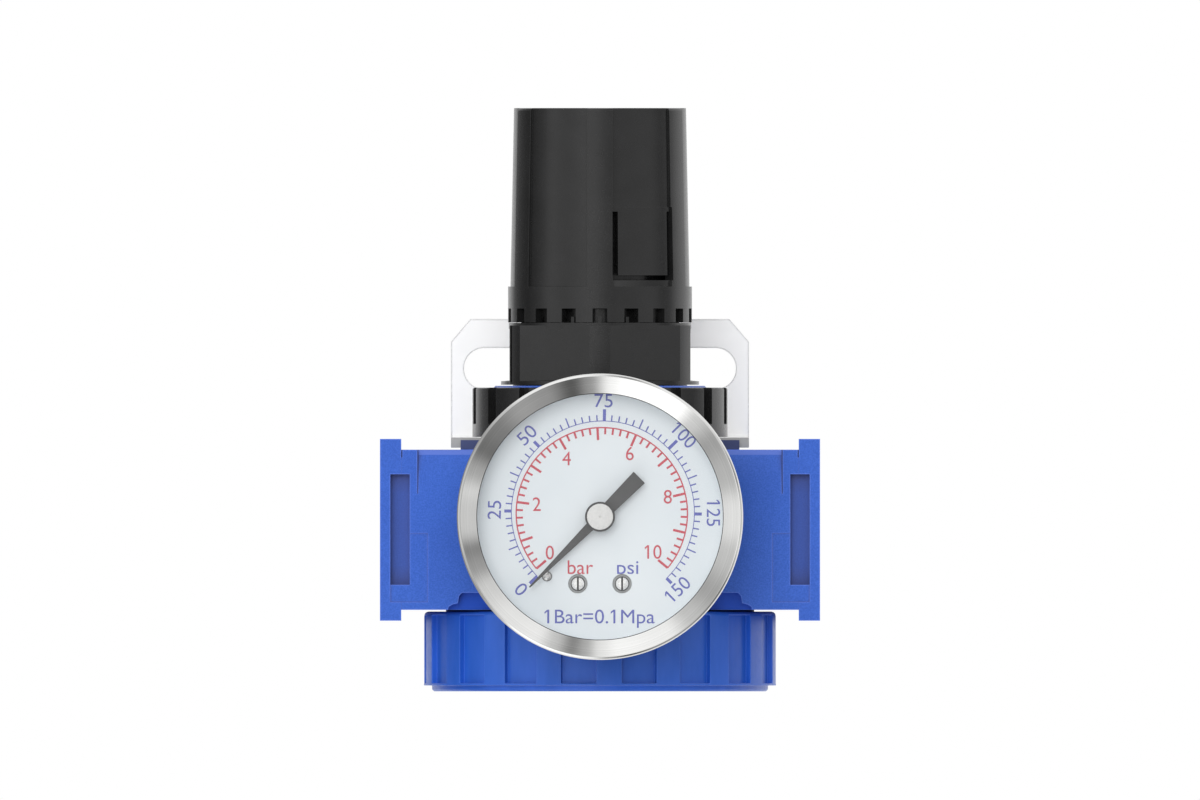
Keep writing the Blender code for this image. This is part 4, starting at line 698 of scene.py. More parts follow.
def build_body():
    half = COLLAR_HALF_WIDTH + 0.2
    depth = BLOCK_HALF_DEPTH
    obj = box("body_casting", (-half, -depth, BLOCK_BOTTOM), (half, depth, BLOCK_TOP))
    lip = box("lip", (-LIP_HALF_WIDTH, -LIP_FRONT, LIP_ROOT), (LIP_HALF_WIDTH, -LIP_BACK, LIP_TOP))
    neck_wall = thread_profile(NECK_RADIUS, BLOCK_TOP + 1.6, NECK_TOP - 0.25, NECK_THREAD_PITCH, THREAD_DEPTH)
    neck = turned(
        "neck",
        [(0, NECK_TOP), (NECK_RADIUS - 0.4, NECK_TOP)] + neck_wall
        + [(NECK_RADIUS - 0.6, BLOCK_TOP + 1.2), (NECK_RADIUS - 0.6, BLOCK_TOP - 4), (0, BLOCK_TOP - 4)],
    )
    boss = turned("boss", rod(BOSS_RADIUS, BOSS_BOTTOM, BLOCK_BOTTOM + 0.05))
    ends = [
        mirrored_box(sign, COLLAR_HALF_WIDTH, BODY_HALF_WIDTH, -depth - 0.03, depth + 0.03,
                     FLANGE_BOTTOM, FLANGE_TOP)
        for sign in (-1, 1)
    ]
    join(obj, *ends, lip, neck, boss)
    cut(
        obj,
        shoulder_cutter(-1, -CORE_HALF_WIDTH, CORE_HALF_WIDTH),
        shoulder_cutter(1, -CORE_HALF_WIDTH, CORE_HALF_WIDTH),
    )
    cove = [
        (COVE_FOOT, BLOCK_BOTTOM - 0.5), (COVE_FOOT - 0.2, BLOCK_BOTTOM + 0.45),
        (COVE_FOOT - 0.8, BLOCK_BOTTOM + 0.8), (COVE_HALF_WIDTH, BLOCK_BOTTOM + 1.0),
        (COVE_HALF_WIDTH - 0.15, COVE_TOP - 0.5), (COVE_HALF_WIDTH - 0.6, COVE_TOP),
    ]
    cove += [(-x, y) for x, y in reversed(cove)]
    cut(obj, plate("cove", [cove], depth - COVE_DEPTH, depth + 5, FACING))
    cut(obj, *body_end_cuts(-1), *body_end_cuts(1))
    port = [(0, depth + 5), (GAUGE_PORT_RADIUS, depth + 5), (GAUGE_PORT_RADIUS, GAUGE_PORT_END),
            (0, GAUGE_PORT_END)]
    to_rear = Matrix.Translation((0, 0, GAUGE_HEIGHT * MM)) @ REARWARD
    cut(obj, turned("gauge_port", port, 48, ON_GAUGE), turned("rear_port", port, 48, to_rear))
    top_bore = [(0, NECK_TOP + 5), (NECK_BORE, NECK_TOP + 5), (NECK_BORE, 35.0), (10.5, 35.0),
                (10.5, 32.8), (0, 32.8)]
    base_bore = [(0, 23.4), (7.6, 23.4), (7.6, 12.0), (9.6, 12.0), (9.6, BOSS_BOTTOM - 5),
                 (0, BOSS_BOTTOM - 5)]
    cut(obj, turned("top_bore", top_bore, 96), turned("base_bore", base_bore, 64))
    tidy_faces(obj)
    soften(obj, 0.14, 2, 28)
    return piece(obj, BLUE_CASTING, "housing", "body", slot="blue_casting")


def tidy_faces(obj):
    """Merges flat neighbouring faces, so that no sliver stops the edges from being rounded."""
    bm = bmesh.new()
    bm.from_mesh(obj.data)
    bmesh.ops.remove_doubles(bm, verts=bm.verts, dist=4e-6)
    bmesh.ops.dissolve_limit(bm, angle_limit=math.radians(0.4), verts=bm.verts, edges=bm.edges)
    bm.to_mesh(obj.data)
    bm.free()


# ---------- bottom cap ----------

CAP_RADIUS, CAP_GROOVE_RADIUS, CAP_LIP_RADIUS = CAP_HIGH.x, 25.43, 25.07
CAP_TOP, CAP_LIP_HEIGHT, CAP_BORE, CAP_FLOOR = CAP_HIGH.z, 0.87, 23.3, 3.0
RIB_COUNT, RIB_WIDTH_DEG, FIRST_RIB_DEG = 18, 8.4, 3.0


def build_cap():
    top, edge = CAP_TOP, CAP_RADIUS
    obj = turned(
        "cap_shell",
        [(0, 6.3), (6.0, 6.3), (6.0, CAP_FLOOR), (CAP_BORE, CAP_FLOOR), (CAP_BORE, top), (edge - 0.7, top),
         (edge - 0.35, top - 0.1), (edge - 0.1, top - 0.35), (edge, top - 0.7), (edge, CAP_LIP_HEIGHT),
         (CAP_LIP_RADIUS, CAP_LIP_HEIGHT), (CAP_LIP_RADIUS, 0.3), (CAP_LIP_RADIUS - 0.3, 0), (0, 0)],
        180,
    )
    step = 360 / RIB_COUNT
    places = [FIRST_RIB_DEG + step * (i + 0.5) for i in range(RIB_COUNT)]
    reach = (CAP_RADIUS + 2, CAP_RADIUS + 2)
    depth = (CAP_GROOVE_RADIUS, CAP_GROOVE_RADIUS)
    cut(obj, bent_blocks("grooves", places, step - RIB_WIDTH_DEG, depth, reach, 1.2, 11.4, 10))
    tidy_faces(obj)
    soften(obj, 0.16, 2, 28)
    return piece(obj, BLUE_PLASTIC, "housing", "bottom_cap", slot="blue_plastic")


# ---------- bracket and ring nut ----------

FLANGE_LOW, SHEET, BRACKET_HALF_WIDTH = BRACKET_LOW.z, 1.51, BRACKET_HIGH.x
PLATE_BACK, PLATE_TOP, BEND_RADIUS, BRACKET_HOLE = BRACKET_HIGH.y, BRACKET_HIGH.z, 0.6, 16.35
CHAMFER_WIDTH, CHAMFER_HEIGHT = 2.9, 3.4
SLOT_HEIGHT, SLOT_RADIUS, SLOT_OUTER, SLOT_INNER = 48.18, 3.06, 17.24, 11.2


def build_bracket():
    top, inner = FLANGE_LOW + SHEET, PLATE_BACK - SHEET
    corner_y, corner_z = inner - BEND_RADIUS, top + BEND_RADIUS
    side = [(BRACKET_LOW.y, FLANGE_LOW)]
    side += arc(corner_y, corner_z, BEND_RADIUS + SHEET, -90, 0, 14)
    side += [(PLATE_BACK, PLATE_TOP), (inner, PLATE_TOP)]
    side += arc(corner_y, corner_z, BEND_RADIUS, 0, -90, 14)
    side += [(BRACKET_LOW.y, top)]
    obj = plate("bracket_sheet", [side], -BRACKET_HALF_WIDTH, BRACKET_HALF_WIDTH, SIDEWAYS)
    cut(obj, turned("hole", rod(BRACKET_HOLE, FLANGE_LOW - 2, top + 2), 96))
    half, roof = BRACKET_HALF_WIDTH, PLATE_TOP
    for sign in (-1, 1):
        corner = [
            (sign * (half - CHAMFER_WIDTH), roof + 1), (sign * (half - CHAMFER_WIDTH), roof),
            (sign * half, roof - CHAMFER_HEIGHT), (sign * (half + 1), roof - CHAMFER_HEIGHT),
            (sign * (half + 1), roof + 1),
        ]
        turn = 90 if sign < 0 else -90
        slot = arc(sign * SLOT_OUTER, SLOT_HEIGHT, SLOT_RADIUS, turn, turn + 180, 24)
        slot += arc(sign * SLOT_INNER, SLOT_HEIGHT, SLOT_RADIUS, turn + 180, turn + 360, 24)
        depth = (-PLATE_BACK - 3, -inner + 3)
        cut(obj, plate("corner", [corner], *depth, FACING), plate("slot", [slot], *depth, FACING))
    tidy_faces(obj)
    soften(obj, 0.09, 2, 30)
    return piece(obj, ZINC, "housing", "bracket", slot="zinc_steel")


NUT_RADIUS, NUT_BORE, NUT_BOTTOM, NUT_TOP = NUT_HIGH.x, 16.3, NUT_LOW.z, NUT_HIGH.z
NUT_NOTCH_FLOOR, NUT_NOTCH_RADIUS, NUT_NOTCH_DEG, NUT_FIRST_DEG, NUT_STEP_DEG = 39.9, 17.7, 6.8, 14.0, 22.0


def build_ring_nut():
    edge, top, low = NUT_RADIUS, NUT_TOP, NUT_BOTTOM
    obj = turned(
        "ring_nut_shell",
        [(edge - 0.3, top), (edge - 0.1, top - 0.08), (edge, top - 0.3), (edge, low), (NUT_BORE, low),
         (NUT_BORE, top)],
    )
    quarter = [NUT_FIRST_DEG + NUT_STEP_DEG * i for i in range(4)]
    places = [sign * angle + turn for angle in quarter for sign in (-1, 1) for turn in (0, 180)]
    inner, outer = (NUT_NOTCH_RADIUS,) * 2, (NUT_RADIUS + 2,) * 2
    cut(obj, bent_blocks("notches", places, NUT_NOTCH_DEG, inner, outer, NUT_NOTCH_FLOOR, top + 2, 6))
    tidy_faces(obj)
    soften(obj, 0.13, 2, 28)
    return piece(obj, BLACK, "housing", "ring_nut", slot="black_plastic")


# ---------- bonnet ----------

HEX_FLATS, HEX_CLIP, HEX_LOW, HEX_TOP = 27.0, 14.78, 46.3, 54.6
BONNET_FOOT, TOWER_BASE_RADIUS, TOWER_BASE_TOP, TOWER_RADIUS = 45.75, 10.6, 57.4, 10.1
SKIRT_SEAT_RADIUS, SKIRT_SEAT_TOP = 13.62, 55.0
INDEX_COUNT, INDEX_WIDTH_DEG, INDEX_TOP, INDEX_RADIUS = 18, 2.4, 55.9, 11.95


def build_bonnet():
    top = BONNET_HIGH.z
    obj = turned(
        "bonnet_shell",
        [(TOWER_RADIUS - 0.4, top), (TOWER_RADIUS, top - 0.4), (TOWER_RADIUS, TOWER_BASE_TOP),
         (TOWER_BASE_RADIUS, TOWER_BASE_TOP - 0.3), (TOWER_BASE_RADIUS, HEX_LOW + 0.5),
         (HEX_CLIP - 0.5, HEX_LOW + 0.02), (HEX_CLIP, HEX_LOW), (HEX_CLIP, BONNET_FOOT),
         (13.0, BONNET_FOOT), (13.0, BONNET_LOW.z), (9.6, BONNET_LOW.z), (9.6, 44.0), (8.2, 45.0),
         (8.2, 70.2), (3.05, 70.2), (3.05, top)],
    )
    half = 30 - math.degrees(math.acos(HEX_FLATS / 2 / HEX_CLIP))
    outline = []
    for i in range(6):
        outline += arc(0, 0, HEX_CLIP, -90 + 60 * i - half, -90 + 60 * i + half, 8)
    hole = circle(0, 0, TOWER_BASE_RADIUS - 1, 64)
    hexagon = plate("hexagon", [outline, hole], HEX_LOW - 0.2, HEX_TOP)
    ribs = bent_blocks(
        "ribs", [360 / INDEX_COUNT * i for i in range(INDEX_COUNT)], INDEX_WIDTH_DEG,
        (TOWER_BASE_RADIUS - 0.5,) * 2, (INDEX_RADIUS,) * 2, HEX_TOP - 1, INDEX_TOP, 3)
    seat = turned("seat", ring(SKIRT_SEAT_RADIUS, TOWER_BASE_RADIUS - 0.5, HEX_TOP - 0.5, SKIRT_SEAT_TOP))
    join(obj, hexagon, seat, ribs)
    for sign in (-1, 1):
        cut(obj, mirrored_box(sign, 0, 9.1, -1.5, 1.5, 57.8, 70.0))
    tidy_faces(obj)
    soften(obj, 0.10, 2, 20, lambda middle: HEX_TOP - 0.05 < middle.z < SKIRT_SEAT_TOP + 0.05)
    return piece(obj, BLACK, "housing", "bonnet", slot="black_plastic")


# ---------- knob and lock tab ----------

KNOB_BOTTOM, KNOB_TOP, COLLAR_TOP = KNOB_LOW.z, KNOB_HIGH.z, 60.42
KNOB_RADIUS, KNOB_TOP_RADIUS = KNOB_HIGH.x, 13.2
SUNK_RADIUS, SUNK_TOP_RADIUS, SUNK_COUNT, SUNK_WIDTH_DEG = 13.36, 12.84, 6, 43.0
KNOB_BORE, KNOB_TOP_BORE, KNOB_ROOF = 12.2, 11.5, 84.5
SKIRT_NOTCH_COUNT, SKIRT_NOTCH_DEG, SKIRT_NOTCH_TOP = 18, 9.2, 57.13
WINDOW_LEFT, WINDOW_RIGHT, WINDOW_BOTTOM, WINDOW_TOP = 7.9, 53.0, 61.35, 72.26
TONGUE_LEFT, TONGUE_RIGHT, TONGUE_INNER, TONGUE_SHOULDER = 11.7, 49.0, 11.98, 71.6
KNOB_STEPS = 216


def sunk_radius(height):
    """The radius of a sunk panel's floor at a height."""
    part = (height - COLLAR_TOP) / (KNOB_TOP - COLLAR_TOP)
    return SUNK_RADIUS + (SUNK_TOP_RADIUS - SUNK_RADIUS) * part


def build_knob():
    edge, top = KNOB_TOP_RADIUS, KNOB_TOP
    obj = turned(
        "knob_shell",
        [(0, top), (edge - 0.5, top), (edge - 0.2, top - 0.06), (edge, top - 0.4),
         (KNOB_RADIUS, COLLAR_TOP), (KNOB_RADIUS, KNOB_BOTTOM), (KNOB_BORE, KNOB_BOTTOM),
         (KNOB_BORE, COLLAR_TOP), (KNOB_TOP_BORE, KNOB_ROOF), (6.0, KNOB_ROOF), (6.0, 73.9), (0, 73.9)],
        KNOB_STEPS,
    )
    step = 360 / SUNK_COUNT
    sunk = bent_blocks(
        "sunk_panels", [step * (i + 0.5) for i in range(SUNK_COUNT)], SUNK_WIDTH_DEG,
        (SUNK_RADIUS, sunk_radius(top + 1)), (KNOB_RADIUS + 2,) * 2, COLLAR_TOP, top + 1, 26)
    step = 360 / SKIRT_NOTCH_COUNT
    notches = bent_blocks(
        "notches", [step * i for i in range(SKIRT_NOTCH_COUNT)], SKIRT_NOTCH_DEG,
        (KNOB_BORE - 1,) * 2, (KNOB_RADIUS + 2,) * 2, KNOB_BOTTOM - 1, SKIRT_NOTCH_TOP, 6)
    window = bent_blocks(
        "window", [(WINDOW_LEFT + WINDOW_RIGHT) / 2], WINDOW_RIGHT - WINDOW_LEFT,
        (KNOB_TOP_BORE - 1,) * 2, (KNOB_RADIUS + 2,) * 2, WINDOW_BOTTOM, WINDOW_TOP, 26)
    socket = plate("socket", [polygon(7.2, 6)], 72.9, 83.0)
    cut(obj, sunk, notches, window, socket)
    tidy_faces(obj)
    soften(obj, 0.10, 2, 28, lambda middle: abs(middle.z - WINDOW_TOP) < 0.4)
    return piece(obj, BLACK, "knob", "knob", slot="black_plastic")


def build_lock_tab():
    """The tongue in one sunk panel: its wide top joins the knob."""
    wide = (WINDOW_RIGHT - WINDOW_LEFT) / 2
    middle = (WINDOW_LEFT + WINDOW_RIGHT) / 2
    heights = [TAB_LOW.z + (TONGUE_SHOULDER - TAB_LOW.z) * i / 24 for i in range(25)]
    heights += [TONGUE_SHOULDER + 0.02, WINDOW_TOP + 0.02]
    bm = bmesh.new()
    rows = []
    columns = 28
    for height in heights:
        if height <= TONGUE_SHOULDER:
            left, right = TONGUE_LEFT, TONGUE_RIGHT
        else:
            left, right = middle - wide - 0.1, middle + wide + 0.1
        row = []
        for radius in (sunk_radius(height), TONGUE_INNER):
            for i in range(columns + 1):
                angle = math.radians(left + (right - left) * i / columns)
                place = Vector((radius * math.sin(angle), -radius * math.cos(angle), height)) * MM
                row.append(bm.verts.new(place))
        rows.append(row)
    across = columns + 1
    ring_order = list(range(across)) + [across + i for i in reversed(range(across))]
    for low, high in zip(rows, rows[1:]):
        for i, j in zip(ring_order, ring_order[1:] + ring_order[:1]):
            bm.faces.new((low[i], low[j], high[j], high[i]))
    for row in (rows[0], rows[-1]):
        for i in range(columns):
            bm.faces.new((row[i], row[i + 1], row[across + i + 1], row[across + i]))
    obj = new_object("lock_tongue", mesh_from(bm, "lock_tongue"))
    shade(obj, 28)
    obj.data.materials.append(BLACK)
    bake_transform(obj)
    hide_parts("lock_tab")
    return obj


# ---------- gauge ----------

SOCKET_NECK_RADIUS, SOCKET_FLATS, SOCKET_HEX_LOW, SOCKET_HEX_HIGH = 4.0, 12.0, 21.7, 28.2
CASE_RADIUS, CASE_BACK, CASE_FRONT, CASE_WALL, CASE_HOLE = CASE_HIGH.x, -CASE_HIGH.y, -CASE_LOW.y, 0.8, 4.3
BEZEL_RADIUS, BEZEL_BORE, BEZEL_BACK, BEZEL_FRONT = BEZEL_HIGH.x, 20.7, -BEZEL_HIGH.y, -BEZEL_LOW.y
RIM_RADIUS, VIEW_RADIUS, VIEW_OUT, LEDGE_OUT = 20.85, 18.45, 49.8, 49.7
LENS_RADIUS, LENS_BACK, LENS_FRONT = LENS_HIGH.x, -LENS_HIGH.y, -LENS_LOW.y
DIAL_RIM, DIAL_RIM_OUT = 0.35, 47.9
DIAL_SCREW_Y, DIAL_SCREW_RADIUS, DISH_RADIUS, DISH_DEPTH = -10.0, 0.94, 1.47, 0.28
PIN_X, PIN_Y, PIN_RADIUS, PIN_TOP = -7.9, -8.9, 0.33, 46.9
NEEDLE_BACK, NEEDLE_FRONT = 46.1, 46.5
NEEDLE_DEG, NEEDLE_LENGTH, NEEDLE_WIDTH, NEEDLE_TIP = 225.0, 14.9, 1.5, 0.22
COUNTER_LENGTH, COUNTER_WIDTH, COUNTER_END = 8.3, 1.9, 2.4
HUB_RADIUS, HUB_BACK, HUB_FRONT, HUB_LINE = 2.24, 45.9, 47.2, 0.30


def build_gauge_body():
    back, front, radius = CASE_BACK, CASE_FRONT, CASE_RADIUS
    bend = arc(radius - 2.2, back + 2.2, 2.2, 0, -90, 12)
    inner = arc(radius - 2.2, back + 2.2, 2.2 - CASE_WALL, -90, 0, 12)
    case = turned(
        "case_can",
        [(radius, front)] + bend + [(CASE_HOLE, back), (CASE_HOLE, back + CASE_WALL)] + inner
        + [(radius - CASE_WALL, front)], TURN, ON_GAUGE)
    shade(case)
    piece(case, CASE_BLACK, "housing", "gauge_case", slot="black_plastic")

    bezel = turned(
        "bezel_ring",
        [(RIM_RADIUS + 0.12, BEZEL_FRONT), (BEZEL_RADIUS - 0.16, BEZEL_FRONT - 0.1),
         (BEZEL_RADIUS, BEZEL_FRONT - 0.45), (BEZEL_RADIUS, BEZEL_BACK + 0.3),
         (BEZEL_RADIUS - 0.12, BEZEL_BACK), (BEZEL_BORE, BEZEL_BACK), (BEZEL_BORE, LEDGE_OUT),
         (VIEW_RADIUS, LEDGE_OUT), (VIEW_RADIUS, VIEW_OUT), (RIM_RADIUS - 0.1, BEZEL_FRONT - 0.09),
         (RIM_RADIUS, BEZEL_FRONT - 0.02)],
        240, ON_GAUGE)
    shade(bezel, 24)
    piece(bezel, POLISHED, "housing", "gauge_bezel", slot="polished_steel")

    # Painted shadow: a thin dark ring along the bezel's inner edge
    line = turned("lens_edge_shadow_line", ring(VIEW_RADIUS + 0.1, VIEW_RADIUS - 0.10, 49.53, 49.66), TURN, ON_GAUGE)
    shade(line)
    piece(line, DARK_LINE, "housing", slot="rubber")

    lens = turned("lens_cover", ring_lens(), TURN, ON_GAUGE)
    shade(lens)
    piece(lens, LENS, "housing", "gauge_lens", slot="lens_clear")

    across = SOCKET_FLATS / 2 / math.cos(math.pi / 6)
    socket = turned(
        "socket_bar",
        [(0, 33.0), (SOCKET_NECK_RADIUS, 33.0), (SOCKET_NECK_RADIUS, SOCKET_HEX_LOW)]
        + thread_profile(4.6, 12.4, SOCKET_HEX_LOW - 1.2, PORT_THREAD_PITCH, 0.45)
        + [(4.2, 11.9), (0, 11.9)], 64, ON_GAUGE)
    nut = plate("socket_hexagon", [polygon(SOCKET_FLATS, 6)], SOCKET_HEX_LOW, SOCKET_HEX_HIGH, ON_GAUGE)
    trim = [(across + 3, SOCKET_HEX_HIGH + 1), (across + 3, SOCKET_HEX_LOW - 1)]
    trim += [(across - 0.9, SOCKET_HEX_LOW - 1), (across - 0.25, SOCKET_HEX_LOW + 0.35)]
    trim += [(across + 0.4, SOCKET_HEX_LOW + 0.7), (across + 0.4, SOCKET_HEX_HIGH - 0.7)]
    trim += [(across - 0.25, SOCKET_HEX_HIGH - 0.35), (across - 0.9, SOCKET_HEX_HIGH + 1)]
    cut(nut, turned("trim", trim, 96, ON_GAUGE))
    low, high = Vector((-4.8, -14.0, 29.7)), Vector((5.0, 3.0, 32.9))
    block = box("movement_block", low, high, ON_GAUGE)
    posts = [
        turned("post", rod(1.35, 32.0, 43.6), 32, gauge_place(x, DIAL_SCREW_Y))
        for x in (-DIAL_SCREW_X, DIAL_SCREW_X)
    ]
    join(socket, nut, block, *posts)
    ear = box("ear", (-10.5, -14.0, 29.7), (-4.0, -9.0, 32.9), ON_GAUGE)
    join(socket, ear)
    soften(socket, 0.10, 2, 30)
    piece(socket, BRASS, "housing", "gauge_socket", slot="brass")


def ring_lens():
    dome = 0.25
    face = [(LENS_RADIUS * i / 12, LENS_FRONT - dome * (i / 12) ** 2) for i in range(13)]
    return face + [(LENS_RADIUS, LENS_BACK + 0.01), (0, LENS_BACK + 0.01)]


def gauge_place(x, y):
    return Matrix.Translation((x * MM, 0, (GAUGE_HEIGHT + y) * MM)) @ FACING


def build_dial_screw(name, x):
    """A slotted round head in its dish, and a dark ring of painted shadow where it meets the dish."""
    floor, radius = DIAL_FRONT - DISH_DEPTH, DIAL_SCREW_RADIUS
    place = gauge_place(x, DIAL_SCREW_Y)
    crown = [(radius * math.sin(i * math.pi / 16), DIAL_SCREW_TOP - 0.5 + 0.5 * math.cos(i * math.pi / 16))
             for i in range(1, 9)]
    head = turned(
        f"dial_screw_{name}_head",
        [(0, DIAL_SCREW_TOP)] + crown + [(radius, floor + 0.02), (0.5, floor + 0.02), (0.5, 40.6), (0, 40.6)],
        40, place)
    cut(head, box("slot", (-SCREW_SLOT, -1.2, DIAL_SCREW_TOP - 0.3), (SCREW_SLOT, 1.2, 47), place))
    soften(head, 0.02, 2, 30)
    piece(head, SCREW_SILVER, "housing", f"dial_screw_{name}", slot="polished_steel")
    # Painted shadow: a thin dark ring round the head
    line = turned(
        f"dial_screw_{name}_line", ring(radius + 0.13, radius - 0.03, floor + 0.01, DIAL_FRONT - 0.05), 40, place)
    shade(line)
    piece(line, DARK_LINE, "housing", slot="rubber")


def build_dial():
    face = turned(
        "dial_face",
        [(0, DIAL_FRONT), (DIAL_RADIUS - DIAL_RIM, DIAL_FRONT), (DIAL_RADIUS - DIAL_RIM, DIAL_RIM_OUT),
         (DIAL_RADIUS, DIAL_RIM_OUT), (DIAL_RADIUS, DIAL_BACK), (0, DIAL_BACK)], TURN, ON_GAUGE)
    dishes = [(x, DIAL_SCREW_Y, DISH_RADIUS) for x in (-DIAL_SCREW_X, DIAL_SCREW_X)]
    floor = DIAL_FRONT - DISH_DEPTH
    cut(face, turned("spindle_hole", rod(1.2, 40, 50), 40, ON_GAUGE), *[
        turned("dish", [(0, 46), (radius + 0.05, 46), (radius, DIAL_FRONT), (radius - 0.15, floor), (0, floor)],
               40, gauge_place(x, y))
        for x, y, radius in dishes + [(PIN_X, PIN_Y, 0.8)]])
    shade(face, 20)
    piece(face, DIAL_FACE, "housing", "gauge_dial", slot="dial_white")
    build_dial_screw("left", -DIAL_SCREW_X)
    build_dial_screw("right", DIAL_SCREW_X)
    pin = turned(
        "stop_stud",
        [(0, PIN_TOP), (PIN_RADIUS - 0.06, PIN_TOP), (PIN_RADIUS, PIN_TOP - 0.1), (PIN_RADIUS, DIAL_FRONT),
         (0.6, DIAL_FRONT - 0.1), (0.6, DIAL_FRONT - 0.27), (PIN_RADIUS, DIAL_FRONT - 0.27),
         (PIN_RADIUS, DIAL_BACK), (0, DIAL_BACK)],
        32, gauge_place(PIN_X, PIN_Y))
    shade(pin)
    piece(pin, SILVER, "housing", "stop_pin", slot="polished_steel")


def build_pointer():
    angle = math.radians(NEEDLE_DEG)
    along = Vector((math.cos(angle), math.sin(angle)))
    side = Vector((-along.y, along.x))
    corners = [
        along * NEEDLE_LENGTH + side * NEEDLE_TIP / 2, along * 1.0 + side * NEEDLE_WIDTH / 2,
        along * -1.0 + side * COUNTER_WIDTH / 2, along * -COUNTER_LENGTH + side * COUNTER_END / 2,
        along * -COUNTER_LENGTH - side * COUNTER_END / 2, along * -1.0 - side * COUNTER_WIDTH / 2,
        along * 1.0 - side * NEEDLE_WIDTH / 2, along * NEEDLE_LENGTH - side * NEEDLE_TIP / 2,
    ]
    needle = plate("needle_blade", [[tuple(c) for c in corners]], NEEDLE_BACK, NEEDLE_FRONT, ON_GAUGE)
    soften(needle, 0.04, 2, 30)
    piece(needle, NEEDLE_GREY, "pointer", "pointer", slot="pointer_grey")
    collar = turned(
        "needle_hub_edge",
        [(HUB_RADIUS, HUB_FRONT - 0.12), (HUB_RADIUS, HUB_BACK), (0.5, HUB_BACK), (0.5, HUB_FRONT - 0.12)],
        64, ON_GAUGE)
    shade(collar)
    piece(collar, DARK_LINE, "pointer", slot="pointer_grey")
    hub = turned(
        "needle_hub_cap",
        [(0, HUB_FRONT - 0.16), (0.08, HUB_FRONT - 0.16), (0.16, HUB_FRONT - 0.02), (0.3, HUB_FRONT),
         (HUB_RADIUS - HUB_LINE - 0.1, HUB_FRONT), (HUB_RADIUS - HUB_LINE, HUB_FRONT - 0.05),
         (HUB_RADIUS - HUB_LINE, HUB_FRONT - 0.13), (0, HUB_FRONT - 0.18)],
        64, ON_GAUGE)
    shade(hub, 40)
    piece(hub, HUB_SILVER, "pointer", slot="polished_steel")


# ---------- dial print ----------

PRINT_LIFT = 0.03
PSI_CENTRE, PSI_TURN, PSI_ARC, PSI_STEP_DEG = (0.43, 0.63), 0.9, 13.66, 4.5
BAR_CENTRE, BAR_ARC, BAR_LAST_DEG, BAR_STEP_DEG, BAR_TICKS = (0.27, 0.52), 12.78, 129.7, 5.305, 50
PSI_TICKS, PSI_MAJOR, PSI_MIDDLE = 60, 10, 5
PSI_MAJOR_LENGTHS = (1.55, 1.05, 1.1, 1.75, 1.75, 1.1, 1.05)


def on_dial(centre, radius, clock_deg):
    angle = math.radians(clock_deg)
    return (centre[0] + radius * math.sin(angle), centre[1] + radius * math.cos(angle))


def tick(centre, clock_deg, start, end, width):
    """The four corners of a tick along a radius."""
    angle = math.radians(clock_deg)
    out, side = Vector((math.sin(angle), math.cos(angle))), Vector((math.cos(angle), -math.sin(angle)))
    middle = Vector(centre)
    corners = [(start, 0.5), (end, 0.5), (end, -0.5), (start, -0.5)]
    return [tuple(middle + out * r + side * width * s) for r, s in corners]


def scale_arc(centre, radius, from_deg, to_deg, width):
    steps = 120
    sweep = [from_deg + (to_deg - from_deg) * i / steps for i in range(steps + 1)]
    outer = [on_dial(centre, radius + width / 2, deg) for deg in sweep]
    inner = [on_dial(centre, radius - width / 2, deg) for deg in reversed(sweep)]
    return outer + inner


def printed(name, outlines, color, height=PRINT_LIFT):
    """Ink laid on the dial: each outline its own flat patch."""
    bm = bmesh.new()
    for outline in outlines:
        patch = plate("patch", [outline], DIAL_FRONT - 0.01, DIAL_FRONT + height)
        bm.from_mesh(patch.data)
        bpy.data.objects.remove(patch)
    obj = new_object(name, mesh_from(bm, name), ON_GAUGE)
    return piece(obj, color, "housing", slot="pointer_grey")


def psi_angle(index):
    return PSI_TURN + (index - PSI_TICKS / 2) * PSI_STEP_DEG


def bar_angle(index):
    return BAR_LAST_DEG - (BAR_TICKS - index) * BAR_STEP_DEG


def build_scales():
    fine, thick = [], []
    for i in range(PSI_TICKS + 1):
        if i % PSI_MAJOR == 0:
            length = PSI_MAJOR_LENGTHS[i // PSI_MAJOR]
            thick.append(tick(PSI_CENTRE, psi_angle(i), PSI_ARC, PSI_ARC + length, 0.46))
        else:
            length = 1.45 if i % PSI_MIDDLE == 0 else 0.9
            fine.append(tick(PSI_CENTRE, psi_angle(i), PSI_ARC, PSI_ARC + length, 0.20))
    fine.append(scale_arc(PSI_CENTRE, PSI_ARC, psi_angle(0), psi_angle(PSI_TICKS), 0.11))
    printed("psi_fine_marks", fine, BLUE_INK)
    printed("psi_main_marks", thick, BLUE_INK, PRINT_LIFT + 0.01)
    marks = []
    for i in range(1, BAR_TICKS + 1):
        main = i % 5 == 0 or i == 1
        length, width = (1.85, 0.36) if main else (1.0, 0.30)
        marks.append(tick(BAR_CENTRE, bar_angle(i), BAR_ARC, BAR_ARC - length, width))
    printed("bar_marks", marks, RED_INK)
    arc_patch = scale_arc(BAR_CENTRE, BAR_ARC, bar_angle(1), bar_angle(BAR_TICKS), 0.19)
    printed("bar_arc", [arc_patch], RED_INK, PRINT_LIFT + 0.01)


CAPITAL_SHARE, STEM_SHARE, FLAG_REACH, FLAG_DROP = 0.685, 0.12, 0.13, 0.11   # shares of the font's size


